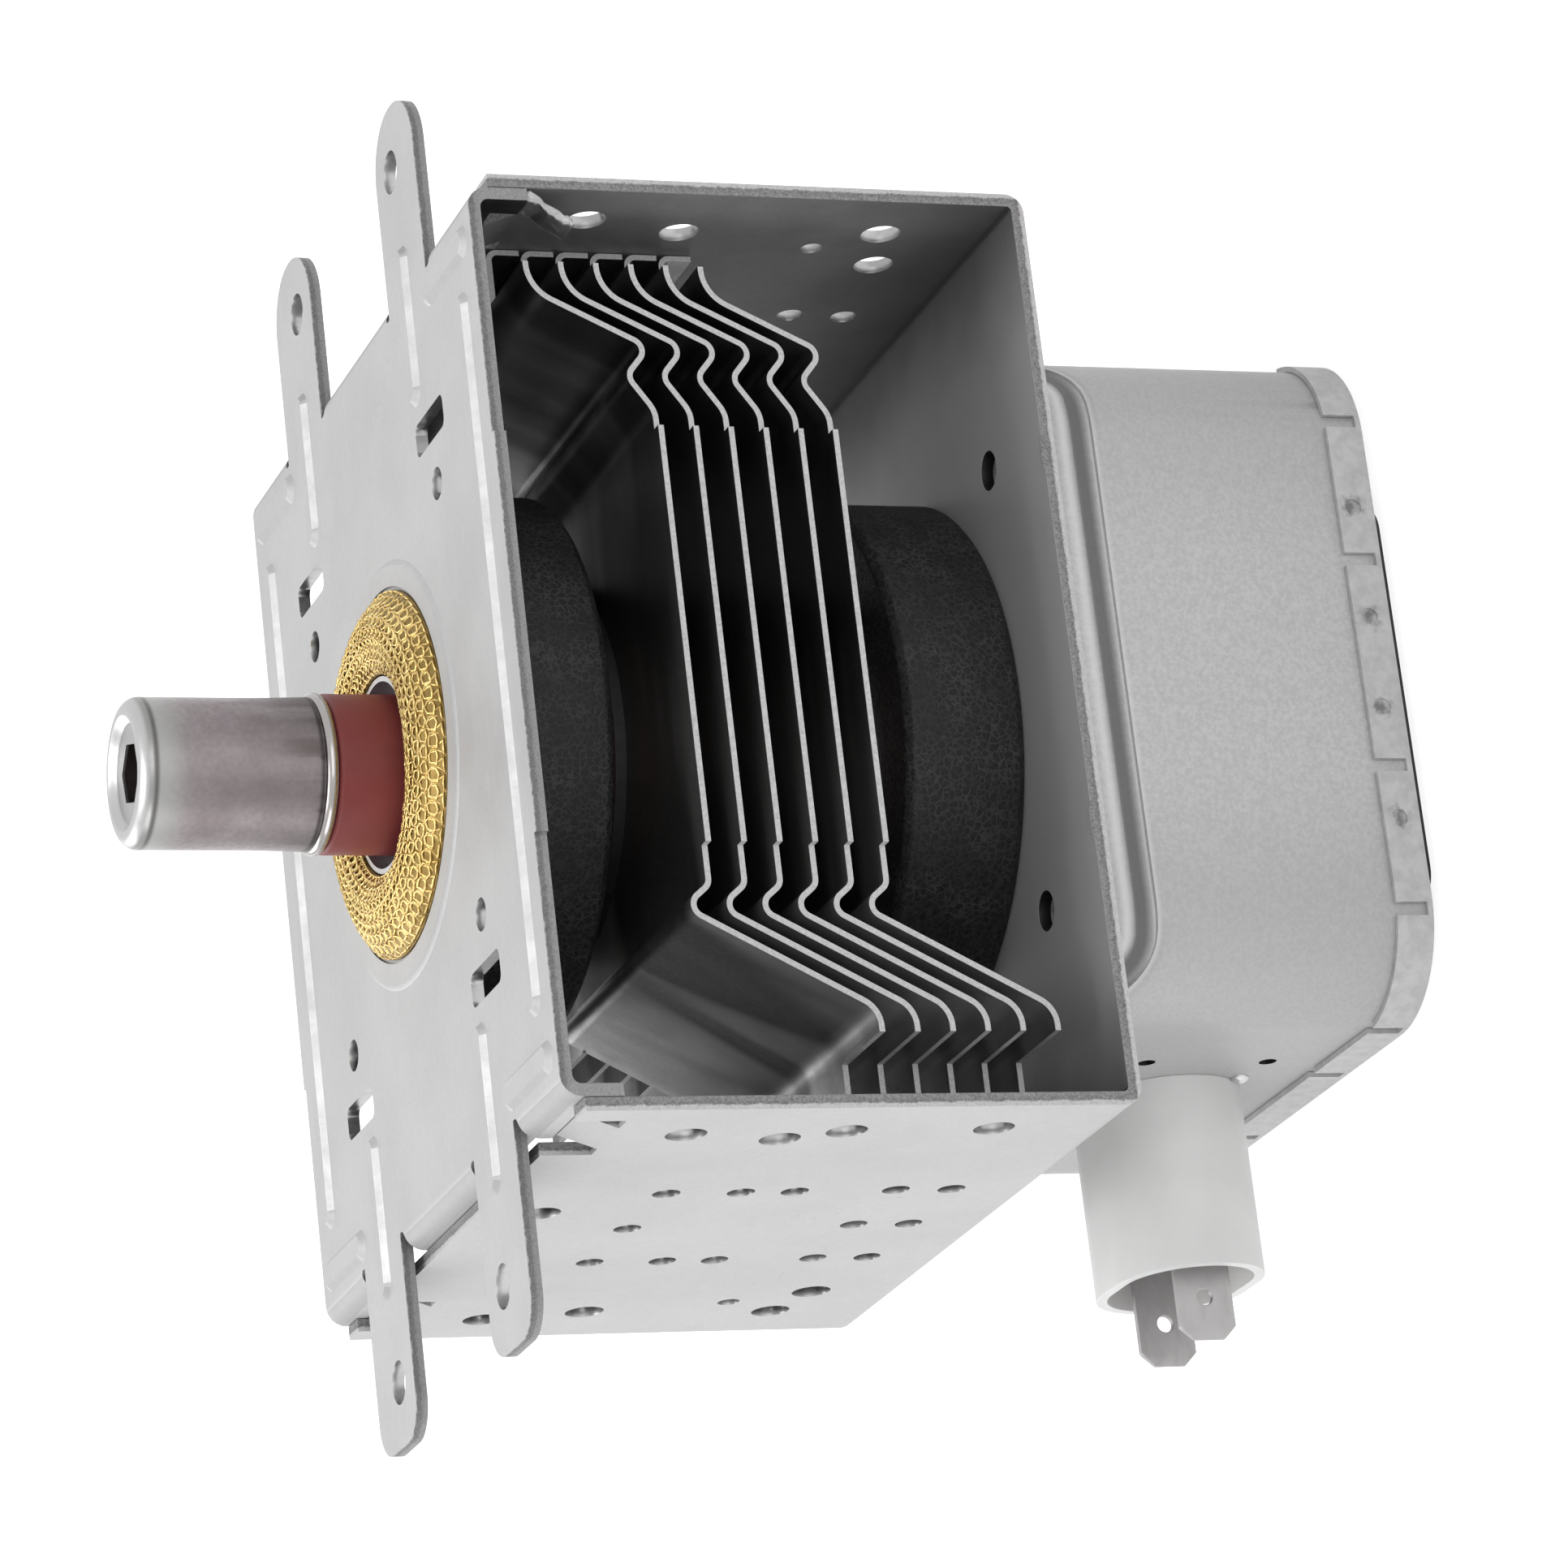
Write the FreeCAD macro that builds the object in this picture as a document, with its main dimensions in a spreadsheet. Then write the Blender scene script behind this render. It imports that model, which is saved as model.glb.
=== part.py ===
import FreeCAD, Part
import math
import os
import re

import Sketcher
from FreeCAD import Placement, Rotation, Vector

# Air-cooled magnetron. The origin is the centre of the mounting plate's outer face, the antenna
# points along +Z, the connector along -X, and the air blows through the yoke along Y.

# Driving sizes in millimetres and degrees. Each one can be set by itself.
SIZES = {
    # Mounting plate: a folded sheet that lies between the walls of the yoke
    "plate_sheet": 1.3,
    "plate_half_depth": 42.0,
    "plate_clearance": 0.1,
    "plate_bend": 2.2,
    "plate_flange_drop": 3.4,
    "plate_lug_drop": 6.4,
    "plate_lug_length": 3.4,
    "plate_lip_half_width": 21.0,
    "plate_lip_reach": 0.6,
    "plate_hole_clearance": 0.3,
    # Ears of the plate with the four mounting holes
    "ear_reach": 66.7,
    "ear_centre": 20.0,
    "ear_width": 13.4,
    "ear_relief": 1.2,
    "ear_round_right": 6.3,
    "ear_round_left": 4.0,
    "ear_hole_setback": 6.7,
    "ear_hole_pitch_y": 37.0,
    "ear_hole_radius": 2.3,
    # Slots, round holes and pressed beads of the plate
    "slot_x": 29.6,
    "slot_y": 22.9,
    "slot_width": 3.5,
    "slot_length": 9.6,
    "slot_round": 0.9,
    "locator_x": 23.1,
    "locator_y": 23.4,
    "locator_radius": 1.7,
    "bead_height": 0.6,
    "bead_slope": 45.0,
    "bead_hollow_margin": 0.8,
    "long_bead_y": 37.2,
    "long_bead_half_length": 36.5,
    "long_bead_width": 3.2,
    "corner_bead_x": 42.9,
    "corner_bead_start": 25.5,
    "corner_bead_end": 40.6,
    "corner_bead_width": 3.4,
    "ear_bead_y": 19.6,
    "ear_bead_start": 33.2,
    "ear_bead_end": 51.0,
    "ear_bead_width": 3.2,
    "ring_bead_radius": 21.3,
    "ring_bead_width": 2.2,
    "ring_bead_height": 0.35,
    "ring_bead_slope": 60.0,
    # Yoke: a U-shaped sheet, open to the front and the back
    "yoke_sheet": 1.4,
    "yoke_half_width": 49.2,
    "yoke_half_depth": 42.0,
    "yoke_top_drop": 2.3,
    "yoke_bend": 2.0,
    "window_start": 27.0,
    "window_end": 38.5,
    "window_drop": 7.6,
    "tongue_start": 29.0,
    "tongue_end": 36.0,
    "tongue_lean": 1.5,
    "tongue_gap": 0.15,
    "vent_radius": 1.45,
    "vent_pitch_y": 12.75,
    "drill_radius": 2.1,
    "pilot_radius": 1.2,
    "pilot_y": 29.9,
    "pilot_drop": 41.3,
    "base_hole_x": 24.2,
    "base_hole_y": 27.6,
    "base_hole_radius": 2.1,
    # Ferrite ring magnets
    "magnet_radius": 29.0,
    "magnet_bore": 11.0,
    "magnet_thickness": 13.2,
    "magnet_chamfer": 0.8,
    # Anode: copper cylinder, ten vanes and the strap rings
    "anode_radius": 19.4,
    "anode_bore": 17.3,
    "anode_length": 30.1,
    "vane_sheet": 1.8,
    "vane_height": 9.5,
    "vane_tip": 4.5,
    "strap_inner_radius": 6.2,
    "strap_gap": 1.0,
    "strap_sheet": 0.7,
    "strap_height": 1.2,
    "strap_sink": 0.2,
    "strap_clearance": 0.08,
    "strap_freedom": 0.45,
    "strap_undercut": 0.8,
    # Pole pieces at both ends of the anode
    "pole_sheet": 1.6,
    "pole_shoulder": 1.2,
    "pole_clearance": 0.05,
    "pole_bore": 4.8,
    "pole_depth": 6.4,
    "pole_foot": 12.8,
    "pole_nose": 6.6,
    "pole_window_x": 7.9,
    "pole_window_radius": 2.7,
    # Cathode
    "filament_radius": 2.2,
    "filament_wire": 0.5,
    "hat_radius": 3.4,
    "hat_thickness": 1.4,
    "hat_overlap": 0.9,
    "lead_radius": 0.7,
    "lead_bend": 2.0,
    "lead_clearance": 0.1,
    "side_lead_start": 2.0,
    "lead_pitch": 10.8,
    # Seal cups, output ceramic, antenna and cap
    "seal_sheet": 0.6,
    "seal_tube_radius": 10.3,
    "seal_flange_radius": 19.0,
    "output_rim_rise": 1.4,
    "ceramic_radius": 8.35,
    "ceramic_bore": 5.6,
    "ceramic_seat_drop": 3.0,
    "ceramic_rise": 8.2,
    "ceramic_edge": 0.3,
    "cap_radius": 7.85,
    "cap_wall": 0.4,
    "cap_length": 20.8,
    "cap_bead_height": 1.4,
    "cap_bead_rise": 0.6,
    "cap_flare": 0.15,
    "cap_flare_length": 6.0,
    "cap_shoulder": 1.4,
    "cap_shoulder_round": 1.54,
    "cap_lip_sheet": 0.6,
    "cap_lip_radius": 6.0,
    "cap_dish_radius": 5.2,
    "cap_dish_depth": 0.8,
    "cap_hexagon_radius": 3.45,
    "cap_hexagon_turn": 12.0,
    "exhaust_radius": 3.2,
    "exhaust_bore": 2.2,
    "exhaust_length": 14.0,
    "exhaust_pinch_length": 5.0,
    "exhaust_pinch_sheet": 1.4,
    "exhaust_flange_radius": 7.4,
    "exhaust_flange_sheet": 0.6,
    "antenna_lead_radius": 1.25,
    "antenna_lead_start": 10.2,
    "antenna_lead_bend": 4.0,
    "antenna_rise": 2.9,
    "antenna_centring_drop": 8.0,
    # Knitted gasket round the output
    "gasket_bore": 10.45,
    "gasket_radius": 19.2,
    "gasket_outer_edge": 0.3,
    "gasket_inner_edge": 1.4,
    "gasket_crown_radius": 6.4,
    # Cooling fins: folded sheet pressed on the anode
    "fin_sheet": 0.6,
    "fin_count": 6,
    "fin_pitch": 3.75,
    "fin_middle_rise": 1.85,
    "fin_flat_right": 23.5,
    "fin_flat_left": 20.8,
    "fin_flat_half_depth": 39.2,
    "fin_wing_half_depth": 38.0,
    "fin_tab_front": 27.0,
    "fin_wing_end": 3.8,
    "fin_back_half_width": 29.2,
    "fin_fit": 0.03,
    "fin_collar_height": 1.8,
    "fin_collar_wall": 0.5,
    "fin_wall_clearance": 0.1,
    "fin_flange": 3.3,
    "fin_tight_bend": 1.3,
    "fin_wide_bend": 3.0,
    "fin_shelf_bend": 4.2,
    "fin_flange_bend": 0.9,
    "fin_right_rise_start": 25.5,
    "fin_right_crest_x": 29.3,
    "fin_right_crest_rise": 2.6,
    "fin_right_valley_x": 32.5,
    "fin_right_valley_drop": 0.1,
    "fin_right_shelf_start": 38.6,
    "fin_right_shelf_end": 41.6,
    "fin_right_shelf_rise": 12.1,
    "fin_left_rise_start": 24.9,
    "fin_left_crest_x": 27.2,
    "fin_left_crest_rise": 2.85,
    "fin_left_shelf_start": 37.8,
    "fin_left_shelf_end": 40.2,
    "fin_left_shelf_drop": 16.4,
    # Stem: ceramic with the two cathode terminals
    "input_tube_length": 17.7,
    "stem_thickness": 6.5,
    "stem_radius": 10.3,
    "terminal_radius": 3.0,
    "terminal_sheet": 0.8,
    "terminal_collar_radius": 1.5,
    "terminal_collar": 2.0,
    # Filter box and its lid
    "box_sheet": 0.6,
    "box_half_width": 36.4,
    "box_half_depth": 36.2,
    "box_depth": 37.0,
    "box_corner": 11.0,
    "box_edge_round": 1.6,
    "groove_drop": 5.8,
    "groove_half_length": 34.0,
    "groove_turn": 5.0,
    "groove_width": 2.4,
    "groove_depth": 0.45,
    "lid_sheet": 0.6,
    "lid_tab_height": 3.5,
    "lid_clearance": 0.05,
    "lid_slit": 1.4,
    "lid_slit_inner": 11.4,
    "lid_slit_outer_x": 27.0,
    "lid_slit_outer_y": 26.5,
    "lid_dimple_radius": 0.9,
    "lid_dimple_depth": 0.25,
    "lid_dimple_inner": 5.0,
    "lid_dimple_outer": 17.2,
    "lid_panel_left": 25.0,
    "lid_panel_right": 18.5,
    "lid_panel_inset": 1.5,
    "lid_panel_height": 1.1,
    "lid_panel_corner": 3.0,
    "lid_panel_wall": 0.9,
    # Connector and feed-through capacitor
    "connector_drop": 20.35,
    "connector_half_width": 10.2,
    "connector_half_height": 8.2,
    "connector_length": 20.5,
    "connector_wall": 1.2,
    "connector_floor": 3.0,
    "connector_neck_inset": 2.1,
    "connector_fit": 0.05,
    "spade_width": 6.3,
    "spade_sheet": 0.8,
    "spade_reach": 27.5,
    "spade_tip": 1.4,
    "spade_bevel_length": 1.2,
    "spade_bevel_depth": 0.22,
    "spade_hole_setback": 4.6,
    "spade_hole_radius": 0.9,
    "spade_stem_width": 2.4,
    "spade_stem_end": 1.0,
    "flange_half_width": 18.0,
    "flange_half_height": 9.6,
    "flange_sheet": 0.8,
    "potting_half_width": 9.6,
    "potting_half_height": 6.6,
    "potting_length": 13.0,
    "rivet_hole_y": 14.3,
    "rivet_hole_z": 6.9,
    "rivet_hole_radius": 0.95,
    # Chokes between the capacitor and the stem
    "core_radius": 2.4,
    "core_length": 20.0,
    "core_start": 17.0,
    "coil_clearance": 0.05,
    "coil_wire": 1.4,
    "coil_lead_radius": 0.6,
    "coil_length": 11.2,
    "coil_bend": 1.2,
}

# Levels and reaches that follow from the sizes above
LEVELS = {
    "plate_edge": "yoke_half_width - yoke_sheet - plate_clearance",
    "plate_hole_radius": "seal_tube_radius + plate_hole_clearance",
    "seal_bore": "seal_tube_radius - seal_sheet",
    "output_flange_top": "-(plate_sheet + magnet_thickness)",
    "anode_top": "output_flange_top - seal_sheet",
    "anode_middle": "anode_top - anode_length / 2",
    "anode_bottom": "anode_top - anode_length",
    "lower_magnet_top": "anode_bottom - seal_sheet",
    "base_inside": "lower_magnet_top - magnet_thickness",
    "base_outside": "base_inside - yoke_sheet",
    "vane_top": "anode_middle + vane_height / 2",
    "vane_bottom": "anode_middle - vane_height / 2",
    "vane_root": "sqrt(anode_bore ^ 2 - (vane_sheet / 2) ^ 2)",
    "outer_strap_radius": "strap_inner_radius + strap_sheet + strap_gap",
    "hat_gap": "vane_height / 2 + hat_overlap",
    "input_rim": "lower_magnet_top - input_tube_length",
    "stem_face": "input_rim - stem_thickness",
    "terminal_end": "stem_face - terminal_sheet - terminal_collar",
    "cap_top": "ceramic_rise + cap_length",
    "box_rim": "base_outside - box_depth",
    "floor_level": "box_rim - lid_sheet",
    "lid_half_width": "box_half_width + lid_clearance + lid_sheet",
    "lid_half_depth": "box_half_depth + lid_clearance + lid_sheet",
    "lid_corner": "box_corner + lid_clearance + lid_sheet",
    "connector_level": "base_outside - connector_drop",
    "connector_mouth": "box_half_width + connector_length",
    "neck_half_width": "connector_half_width - connector_neck_inset",
    "neck_half_height": "connector_half_height - connector_neck_inset",
    "flange_back": "box_half_width - box_sheet - flange_sheet",
    "potting_back": "flange_back - potting_length",
    "spade_end": "potting_back - spade_stem_end",
    "spade_tip_x": "box_half_width + spade_reach",
    "coil_inner": "core_radius + coil_clearance",
    "coil_outer": "coil_inner + coil_wire",
    "choke_y": "lead_pitch / 2 + coil_inner + coil_wire / 2",
    "coil_start": "core_start - (core_length - coil_length) / 2",
}

# Large holes of the wall on the connector's side, as (y, z). The other wall has them turned half round.
DRILLED_HOLES = [
    (-33.5, -15.3),
    (-31.6, -25.7),
    (-34.0, -31.9),
    (-34.3, -47.4),
    (-6.3, -8.8),
    (26.3, -49.5),
    (32.6, -25.8),
    (34.0, -47.5),
    (34.8, -15.0),
]

# Rows of small holes in both walls: height and the columns that have a hole
VENT_ROWS = [
    (-20.1, (-1, 0, 1)),
    (-28.1, (-1, 1)),
    (-33.9, (-1, 1)),
    (-44.9, (-1, 0, 1)),
    (-51.0, (-1, 0, 1)),
]

QUARTERS = [(flip_x, flip_y) for flip_x in (False, True) for flip_y in (False, True)]
VANE_COUNT = 10
TOLERANCE = 1e-4
HALF_ROUND = "half round"

document = FreeCAD.newDocument("Magnetron")
sheet = document.addObject("Spreadsheet::Sheet", "Sizes")


def fill_sheet():
    """Write every driving size to the spreadsheet, with its name as the alias."""
    for row, (alias, size) in enumerate(SIZES.items(), start=1):
        sheet.set(f"A{row}", alias)
        sheet.set(f"B{row}", str(size))
        sheet.setAlias(f"B{row}", alias)
    document.recompute()


def bind(text):
    """Return the expression for a text of size names: levels are spelled out, sizes read the sheet."""

    def spell(match):
        word = match.group()
        if word in LEVELS:
            return "(" + bind(LEVELS[word]) + ")"
        return "Sizes." + word if word in SIZES else word

    return re.sub(r"[A-Za-z_]\w*", spell, text)


def value(text):
    """Return the number that an expression of size names gives now."""
    return float(sheet.evalExpression(bind(text)))


def mirrored(text, flip):
    """Return the text of a coordinate, negated where it is flipped."""
    return f"-({text})" if flip and text != "0" else text


# Sketches

def new_body(name):
    """Add an empty body that carries the name of its sub-part."""
    body = document.addObject("PartDesign::Body", name)
    body.Label = name
    return body


def sketch_on(body, plane, offset=None):
    """Add a sketch on one of the body's own origin planes, moved along the plane's normal."""
    sketch = body.newObject("Sketcher::SketchObject", f"{body.Name}_{plane[:2].lower()}")
    support = next(item for item in body.Origin.OriginFeatures if item.Role == plane)
    sketch.AttachmentSupport = [(support, "")]
    sketch.MapMode = "FlatFace"
    if offset:
        sketch.setExpression("AttachmentOffset.Base.z", bind(offset))
    return sketch


def pin_point(sketch, geometry, end, across, up):
    """Tie a point of the sketch to its two coordinates, or to the sketch's axis where one is 0."""
    for kind, text, axis in (("DistanceX", across, -2), ("DistanceY", up, -1)):
        if text == "0":
            sketch.addConstraint(Sketcher.Constraint("PointOnObject", geometry, end, axis))
            continue
        rule = Sketcher.Constraint(kind, -1, 1, geometry, end, value(text))
        index = sketch.addConstraint(rule)
        sketch.setExpression(f"Constraints[{index}]", bind(text))


def bowed_edge(start, end, radius, to_right):
    """Return an arc between two points that bulges to the right or left of the way it runs."""
    middle = (start + end) / 2
    along = (end - start).normalize()
    right = Vector(along.y, -along.x, 0)
    half = start.distanceToPoint(end) / 2
    bulge = radius - math.sqrt(max(radius ** 2 - half ** 2, 0))
    return Part.Arc(start, middle + right * bulge * (1 if to_right else -1), end)


def outline(sketch, steps, flip_x=False, flip_y=False):
    """Draw a closed outline, counter-clockwise before any flip.

    A step is (across, up), or (across, up, radius) where the edge that leaves it is an arc that
    bulges outward. The radius HALF_ROUND makes a half circle over an upright or level chord.
    """
    steps = [(mirrored(step[0], flip_x), mirrored(step[1], flip_y)) + tuple(step[2:]) for step in steps]
    corners = [Vector(value(step[0]), value(step[1]), 0) for step in steps]
    first = sketch.GeometryCount
    ends = []
    for index, step in enumerate(steps):
        following = corners[(index + 1) % len(corners)]
        if len(step) == 2:
            sketch.addGeometry(Part.LineSegment(corners[index], following))
            ends.append((1, 2))
            continue
        chord = corners[index].distanceToPoint(following)
        radius = chord / 2 if step[2] == HALF_ROUND else value(step[2])
        to_right = flip_x == flip_y
        sketch.addGeometry(bowed_edge(corners[index], following, radius, to_right))
        ends.append((1, 2) if to_right else (2, 1))
    for index, step in enumerate(steps):
        later = (index + 1) % len(steps)
        sketch.addConstraint(
            Sketcher.Constraint("Coincident", first + index, ends[index][1], first + later, ends[later][0])
        )
    for index, step in enumerate(steps):
        pin_point(sketch, first + index, ends[index][0], step[0], step[1])
        if len(step) == 2:
            continue
        if step[2] == HALF_ROUND:
            level = close(corners[index].y, corners[(index + 1) % len(corners)].y)
            kind = "Horizontal" if level else "Vertical"
            sketch.addConstraint(Sketcher.Constraint(kind, first + index, 3, first + index, ends[index][0]))
            continue
        rule = sketch.addConstraint(Sketcher.Constraint("Radius", first + index, value(step[2])))
        sketch.setExpression(f"Constraints[{rule}]", bind(step[2]))


def rectangle(sketch, left, low, right, high, flip_x=False, flip_y=False):
    """Draw a rectangle from its left, low, right and high sides."""
    outline(sketch, [(left, low), (right, low), (right, high), (left, high)], flip_x, flip_y)


def rounded_rectangle(sketch, left, low, right, high, corner, flip_x=False, flip_y=False):
    """Draw a rectangle with four round corners."""
    outline(sketch, [
        (f"({left}) + {corner}", low),
        (f"({right}) - {corner}", low, corner),
        (right, f"({low}) + {corner}"),
        (right, f"({high}) - {corner}", corner),
        (f"({right}) - {corner}", high),
        (f"({left}) + {corner}", high, corner),
        (left, f"({high}) - {corner}"),
        (left, f"({low}) + {corner}", corner),
    ], flip_x, flip_y)


def stadium(sketch, left, right, level, width, flip_x=False, flip_y=False):
    """Draw a slot between two points along the first axis, with round ends past them."""
    low = f"({level}) - ({width}) / 2"
    high = f"({level}) + ({width}) / 2"
    steps = [(left, low), (right, low, HALF_ROUND), (right, high), (left, high, HALF_ROUND)]
    outline(sketch, steps, flip_x, flip_y)


def standing_stadium(sketch, low, high, across, width, flip_x=False, flip_y=False):
    """Draw a slot between two points along the second axis, with round ends past them."""
    left = f"({across}) - ({width}) / 2"
    right = f"({across}) + ({width}) / 2"
    steps = [(left, low, HALF_ROUND), (right, low), (right, high, HALF_ROUND), (left, high)]
    outline(sketch, steps, flip_x, flip_y)


def circle(sketch, across, up, radius):
    """Draw a circle about a point."""
    centre = Vector(value(across), value(up), 0)
    index = sketch.addGeometry(Part.Circle(centre, Vector(0, 0, 1), value(radius)))
    pin_point(sketch, index, 3, across, up)
    rule = sketch.addConstraint(Sketcher.Constraint("Radius", index, value(radius)))
    sketch.setExpression(f"Constraints[{rule}]", bind(radius))


# Features

def pad(body, sketch, length, reverse=False, both=False, slope=None):
    """Add the sketch as a pad, to one side or evenly to both, with sloped sides where a slope is given."""
    feature = body.newObject("PartDesign::Pad", f"{body.Name}_pad")
    feature.Profile = sketch
    feature.setExpression("Length", bind(length))
    feature.SideType = "Symmetric" if both else "One side"
    feature.Reversed = reverse
    if slope:
        feature.setExpression("TaperAngle", bind(f"-({slope})"))
    document.recompute()
    return feature


def pocket(body, sketch, length=None, reverse=False, both=False):
    """Cut the sketch out of the body, right through where no length is given."""
    before = body.Shape.Volume
    feature = body.newObject("PartDesign::Pocket", f"{body.Name}_pocket")
    feature.Profile = sketch
    feature.SideType = "Symmetric" if both else "One side"
    feature.Reversed = reverse
    if length is None:
        feature.Type = "ThroughAll"
    else:
        feature.setExpression("Length", bind(length))
    document.recompute()
    if body.Shape.Volume > before - TOLERANCE:
        raise RuntimeError(f"a pocket of {body.Label} cuts nothing")
    return feature


def revolve(body, sketch):
    """Turn the sketch about its own upright axis."""
    feature = body.newObject("PartDesign::Revolution", f"{body.Name}_turned")
    feature.Profile = sketch
    feature.ReferenceAxis = (sketch, ["V_Axis"])
    feature.Angle = 360.0
    document.recompute()
    return feature


def round_edges(body, radius, wanted):
    """Fillet the edges of the body's last feature that pass a test."""
    base = body.Tip
    names = [f"Edge{index}" for index, edge in enumerate(base.Shape.Edges, start=1) if wanted(edge)]
    feature = body.newObject("PartDesign::Fillet", f"{body.Name}_round")
    feature.Base = (base, names)
    feature.setExpression("Radius", bind(radius))
    document.recompute()
    return feature


def close(first, second):
    """Tell whether two lengths are the same."""
    return abs(first - second) < TOLERANCE


def runs_along_y(edge, x, z):
    """Tell whether an edge runs along Y at a given |x| and z."""
    box = edge.BoundBox
    along = close(box.XLength, 0) and close(box.ZLength, 0)
    return along and close(abs(box.XMin), x) and close(box.ZMin, z)


def lies_at(edge, level):
    """Tell whether an edge lies wholly at one height."""
    box = edge.BoundBox
    return close(box.ZMin, level) and close(box.ZMax, level)


def turned(name, steps):
    """Make a piece that is turned about Z from its half section, given as (radius, z)."""
    body = new_body(name)
    sketch = sketch_on(body, "XZ_Plane")
    outline(sketch, steps)
    revolve(body, sketch)
    return body


def shaped(name, shape, place=Placement()):
    """Add a piece whose shape is worked out here from the sizes in the sheet."""
    item = document.addObject("Part::Feature", name)
    item.Label = name
    item.Shape = shape
    item.Placement = place
    return item


def bent_path(corners, bends):
    """Return straight edges along the corners, joined at each inner corner by a tangent arc."""
    edges = []
    start = corners[0]
    for before, corner, after, bend in zip(corners, corners[1:], corners[2:], bends):
        back = (before - corner).normalize()
        ahead = (after - corner).normalize()
        half_angle = back.getAngle(ahead) / 2
        setback = bend / math.tan(half_angle)
        middle = corner + (back + ahead).normalize() * (bend / math.sin(half_angle) - bend)
        enter = corner + back * setback
        leave = corner + ahead * setback
        if start.distanceToPoint(enter) > TOLERANCE:
            edges.append(Part.LineSegment(start, enter).toShape())
        edges.append(Part.Arc(enter, middle, leave).toShape())
        start = leave
    edges.append(Part.LineSegment(start, corners[-1]).toShape())
    return edges


def bent_rod(points, radius, bend):
    """Return a round rod that follows straight runs joined by tangent bends."""
    corners = [Vector(*point) for point in points]
    path = Part.Wire(bent_path(corners, [bend] * (len(corners) - 2)))
    disc = Part.Face(Part.Wire(Part.makeCircle(radius, corners[0], corners[1] - corners[0])))
    return path.makePipe(disc)


# Mounting plate

def plate_beads(plate, margin):
    """Return a sketch of the plate's straight beads, narrowed by a margin for the hollow side."""
    offset = "-plate_sheet" if margin else None
    sketch = sketch_on(plate, "XY_Plane", offset)
    trim = " - bead_hollow_margin * 2" if margin else ""
    for flip_y in (False, True):
        stadium(sketch, "-long_bead_half_length", "long_bead_half_length", "long_bead_y",
                "long_bead_width" + trim, flip_y=flip_y)
    for flip_x, flip_y in QUARTERS:
        standing_stadium(sketch, "corner_bead_start + corner_bead_width / 2",
                         "corner_bead_end - corner_bead_width / 2", "corner_bead_x",
                         "corner_bead_width" + trim, flip_x, flip_y)
        stadium(sketch, "ear_bead_start + ear_bead_width / 2", "ear_bead_end - ear_bead_width / 2",
                "ear_bead_y", "ear_bead_width" + trim, flip_x, flip_y)
    return sketch


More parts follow.
